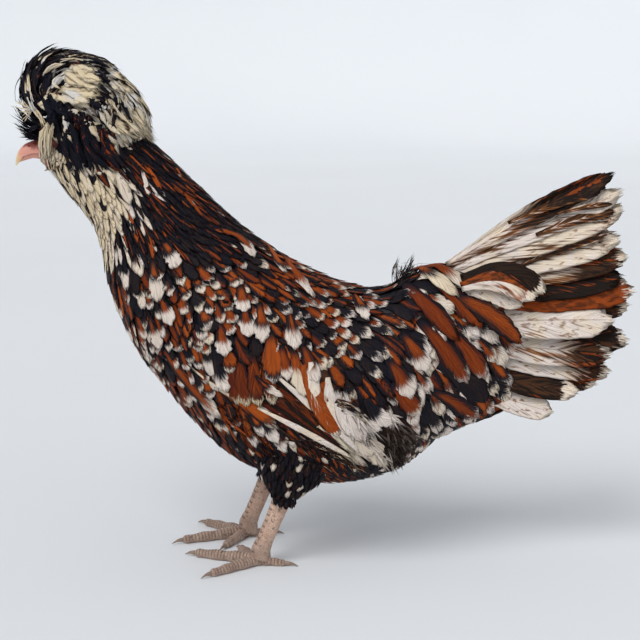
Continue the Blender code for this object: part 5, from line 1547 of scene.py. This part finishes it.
def bill_half(table, rings, way):
    """Rings of one half of the bill: domed upwards or downwards, and nearly flat where the halves meet."""
    row = row_at(table, np.linspace(0, len(table) - 1, rings))
    t = np.linspace(0, 1, 15)
    dome = np.stack([1 - 2 * t, np.sqrt(1 - (1 - t) ** 2.2)], -1)
    t = np.linspace(1, 0, 9)[1:-1]
    flat = np.stack([-1 + 0.18 * (1 - t * t), t], -1)
    half = np.concatenate([dome, flat])
    ring = np.concatenate([half, [[-1 + 0.18, 0.0]], half[1:-1][::-1] * np.array([1, -1])])
    top, low, wide = row[:, None, 0:2], row[:, None, 2:4], row[:, 4:5]
    place = (top + low) / 2 + (top - low) / 2 * (way * ring[None, :, :1])
    return np.stack([place[..., 0], wide * ring[None, :, 1], place[..., 1]], -1)


def build_bill():
    mat = bill_material()
    upper = bill_half(UPPER_BILL, 110, 1)
    x, z = upper[..., 0] - NOSTRIL_AT[0], upper[..., 2] - NOSTRIL_AT[1]
    c, s = NOSTRIL_TILT
    dx, dz = x * c - z * s, z * c + x * s
    hole = smooth_step(1.2, 0.5, np.hypot(dx / NOSTRIL_SIZE[0], dz / NOSTRIL_SIZE[1]))
    flap = bump(np.hypot(dx / 0.0036, (dz - 0.0006) / 0.0020), 0.85, 0.5)
    for side, _tag in SIDES:
        on_side = upper[..., 1] * side > 0.001
        upper[..., 1] += side * on_side * (0.00025 * flap - NOSTRIL_DEEP * hole)
    for name, grid in (("bill_upper", upper), ("bill_lower", bill_half(LOWER_BILL, 80, -1))):
        piece = tube_piece("horn_" + name, [grid], mat)
        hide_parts(name)


def bill_material():
    """Cream at the tip and along the ridge, flesh pink behind, and red and brown towards the root."""
    n = Paint("bill_horn", 0.38)
    place = n.object_place()
    x, y, z = n.parts(place)
    cloud = n.noise(place, 260.0, 3.0, 0.6)
    t = (x - BILL_TIP[0]) * 70.0 + (z - BILL_TIP[1]) * 22.0 + (cloud - 0.5) * 0.25
    colour = n.mix(n.step(0.15, 0.62, t), (0.78, 0.60, 0.30), (0.74, 0.33, 0.25))
    height = z + (x * 0.15 - 0.2944) + (cloud - 0.5) * 0.006
    colour = n.mix(n.step(-0.0014, 0.0016, height), colour, (0.30, 0.055, 0.036))
    ridge = n.step(0.0022, 0.0006, abs(y)) * n.step(1.0, 0.5, t)
    colour = n.mix(ridge * 0.7, colour, (0.80, 0.64, 0.38))
    colour = n.mix(n.step(0.55, 0.80, cloud), colour, (0.50, 0.19, 0.14))
    return n.finish(colour, n.noise(n.vector(x * 1100, y * 260, z * 700)), 0.0002, 0.6)


def flesh_material(name, colour, dark, size):
    """Bare pebbled skin of one colour, with painted shade in the hollows between the pebbles."""
    n = Paint(name, 0.42, {"Subsurface Weight": 0.15, "Subsurface Radius": (0.002, 0.0006, 0.0004)})
    place = n.object_place()
    height = 1.0 - n.cells(place, size, "F1")
    tone = n.mix(n.step(0.35, 0.70, n.noise(place, 240.0, 3.0, 0.6)), dark, colour)
    # Painted shade: the dark colour fills the hollows between the pebbles
    return n.finish(n.mix(n.step(0.2, 0.75, height), dark, tone), height, 0.0004, 0.8)


def eye_material():
    """Pupil, iris with fine spokes and a dark rim, by the distance from the middle of the eye's front."""
    n = Paint("wet_eye", 0.05)
    x, y, z = n.parts(n.object_place())
    r, turn = n.math("SQRT", x * x + z * z), n.math("ARCTAN2", z, x)
    iris = n.mix(n.noise(n.vector(turn * 9.0, r * 300.0, y)), (0.42, 0.10, 0.02), (0.75, 0.30, 0.07))
    iris = n.mix(n.step(0.0025, 0.0033, r), iris, (0.03, 0.015, 0.01))
    return n.finish(n.mix(n.step(0.0016, 0.0013, r), iris, (0.003, 0.003, 0.004)))


def build_eye(tag, side, eye_mat, lid_mat):
    low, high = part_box(f"eye_{tag}")
    centre = (np.array(low) + np.array(high)) / 2
    radius = (high[0] - low[0]) / 2
    name = f"eyeball_{tag}"
    sphere = dict(u_segments=40, v_segments=24, radius=radius)
    mesh = filled_mesh(name, lambda bm: bmesh.ops.create_uvsphere(bm, **sphere))
    mesh.shade_smooth()
    mesh.materials.append(eye_mat)
    ball_piece = add_object(name, mesh)
    ball_piece.location = centre
    bpy.context.view_layer.update()
    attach(ball_piece, "root")
    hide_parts(f"eye_{tag}")
    grids, count = [], 44
    blunt = np.sqrt(np.clip(1 - np.linspace(-1, 1, count) ** 6, 0.05, 1))
    for first, last, thick, gap in LIDS:
        turn = np.linspace(first, last, count)
        for layer in (0, 1):
            reach = radius * (0.93 + 0.26 * layer)
            y = np.full(count, side * radius * (0.50 - 0.26 * layer))
            path = centre + np.stack([reach * np.cos(turn), y, gap * reach * np.sin(turn)], -1)
            r = thick * (1 - 0.2 * layer) * blunt
            grids.append(tube(path, r, r, ACROSS, 12))
    lids = tube_piece(f"eyelids_{tag}", grids, lid_mat)


def build_wattle(tag, side, material):
    """A small wattle, creased down its length. The throat feathers leave only its upper part bare."""
    t = np.linspace(0.02, 0.98, 26)[:, None]
    turn = np.linspace(0, math.tau, 40, endpoint=False)
    fat = np.sqrt(1 - (2 * t - 1) ** 2)
    crease = 1 + 0.10 * np.sin(5 * turn + 4 * t) * fat
    x = WATTLE_TOP[0] + 0.002 * t + WATTLE_SIZE[0] * fat * (0.65 + 0.5 * t) * crease * np.cos(turn)
    y = side * (WATTLE_TOP[1] + 0.0006 * t) + WATTLE_SIZE[1] * fat * crease * np.sin(turn)
    z = WATTLE_TOP[2] - WATTLE_SIZE[2] * t + 0 * turn
    piece = tube_piece(f"soft_wattle_{tag}", [np.stack([x, y, z], -1)], material)
    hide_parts(f"wattle_{tag}")


def repaint(node, material):
    obj = nodes[node]
    obj.data.materials.clear()
    obj.data.materials.append(material)


def build_face():
    build_bill()
    red = flesh_material("red_skin", (0.58, 0.085, 0.060), (0.26, 0.025, 0.020), 900.0)
    white = flesh_material("white_lobe", (0.74, 0.68, 0.66), (0.50, 0.38, 0.36), 800.0)
    eye_mat = eye_material()
    for side, tag in SIDES:
        build_eye(tag, side, eye_mat, red)
        build_wattle(tag, side, red)
        repaint(f"ear_{tag}", white)
    repaint("comb", red)


FLOOR_FLAT, FLOOR_CURVE, FLOOR_TOP, FLOOR_SIDES = 4.5, 1.2, 2.6, 96
AIM = (0, 0, 0.18)
SENSOR = 36  # width of the camera's sensor in millimetres
# Lights: kind, place, then their settings
LIGHTS = (
    ("key", "SUN", (-0.9, -1.3, 1.9), dict(energy=1.75, angle=math.radians(40))),
    ("fill", "AREA", (1.7, -1.5, 1.0), dict(energy=5, size=1.6)),
)


def build_floor():
    """A wide pale floor that curves up far away, all round."""
    profile = [(1.5, 0.0), (FLOOR_FLAT, 0.0)]
    for a in np.linspace(0, math.pi / 2, 13)[1:]:
        profile.append((FLOOR_FLAT + FLOOR_CURVE * math.sin(a), FLOOR_CURVE - FLOOR_CURVE * math.cos(a)))
    profile.append((FLOOR_FLAT + FLOOR_CURVE, FLOOR_TOP))
    turn = np.arange(FLOOR_SIDES) * math.tau / FLOOR_SIDES
    verts = [(r * math.cos(a), r * math.sin(a), z) for r, z in profile for a in turn]
    faces = [tuple(range(FLOOR_SIDES))]
    for i in range(0, len(verts) - FLOOR_SIDES, FLOOR_SIDES):
        for j in range(FLOOR_SIDES):
            k = (j + 1) % FLOOR_SIDES
            faces.append((i + j, i + FLOOR_SIDES + j, i + FLOOR_SIDES + k, i + k))
    mesh = bpy.data.meshes.new("floor")
    mesh.from_pydata(verts, [], faces)
    mesh.shade_smooth()
    floor = add_object("floor", mesh)
    n = Paint("pale_floor", 0.9)
    tone = n.mix(n.noise(n.object_place(), 1.2, 2.0), (0.74, 0.76, 0.79), (0.80, 0.82, 0.84))
    mesh.materials.append(n.finish(tone))


def build_stage():
    """The floor, soft light, and the camera where the photograph was taken."""
    scene = bpy.context.scene
    build_floor()
    world = bpy.data.worlds.new("studio")
    scene.world = world
    world.use_nodes = True
    back = world.node_tree.nodes["Background"]
    back.inputs["Color"].default_value = (0.95, 0.97, 1.0, 1.0)
    back.inputs["Strength"].default_value = 0.52
    for name, kind, place, settings in LIGHTS:
        light = bpy.data.lights.new(name, kind)
        for key, value in settings.items():
            setattr(light, key, value)
        lamp = add_object(name, light)
        lamp.location = place
        lamp.rotation_euler = (Vector(AIM) - Vector(place)).to_track_quat("-Z", "Y").to_euler()
    camera = bpy.data.cameras.new("camera")
    camera.sensor_width = SENSOR
    camera.lens = FOCAL / PICTURE * SENSOR
    camera.dof.use_dof = False
    camera.clip_end = 100
    eye = add_object("camera", camera)
    eye.location = (SHIFT, -DISTANCE * math.cos(PITCH), LEVEL + DISTANCE * math.sin(PITCH))
    eye.rotation_euler = (math.pi / 2 - PITCH, 0, 0)
    scene.camera = eye
    scene.view_settings.view_transform = "Standard"


SKIN = build_skin()
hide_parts("head", "neck", "torso", "rump", "thigh_l", "thigh_r")

build_body_coat()
build_wings()
build_tail()
build_crest()
build_down()
build_head_coat()
build_thighs()
build_feet()
build_face()
build_stage()
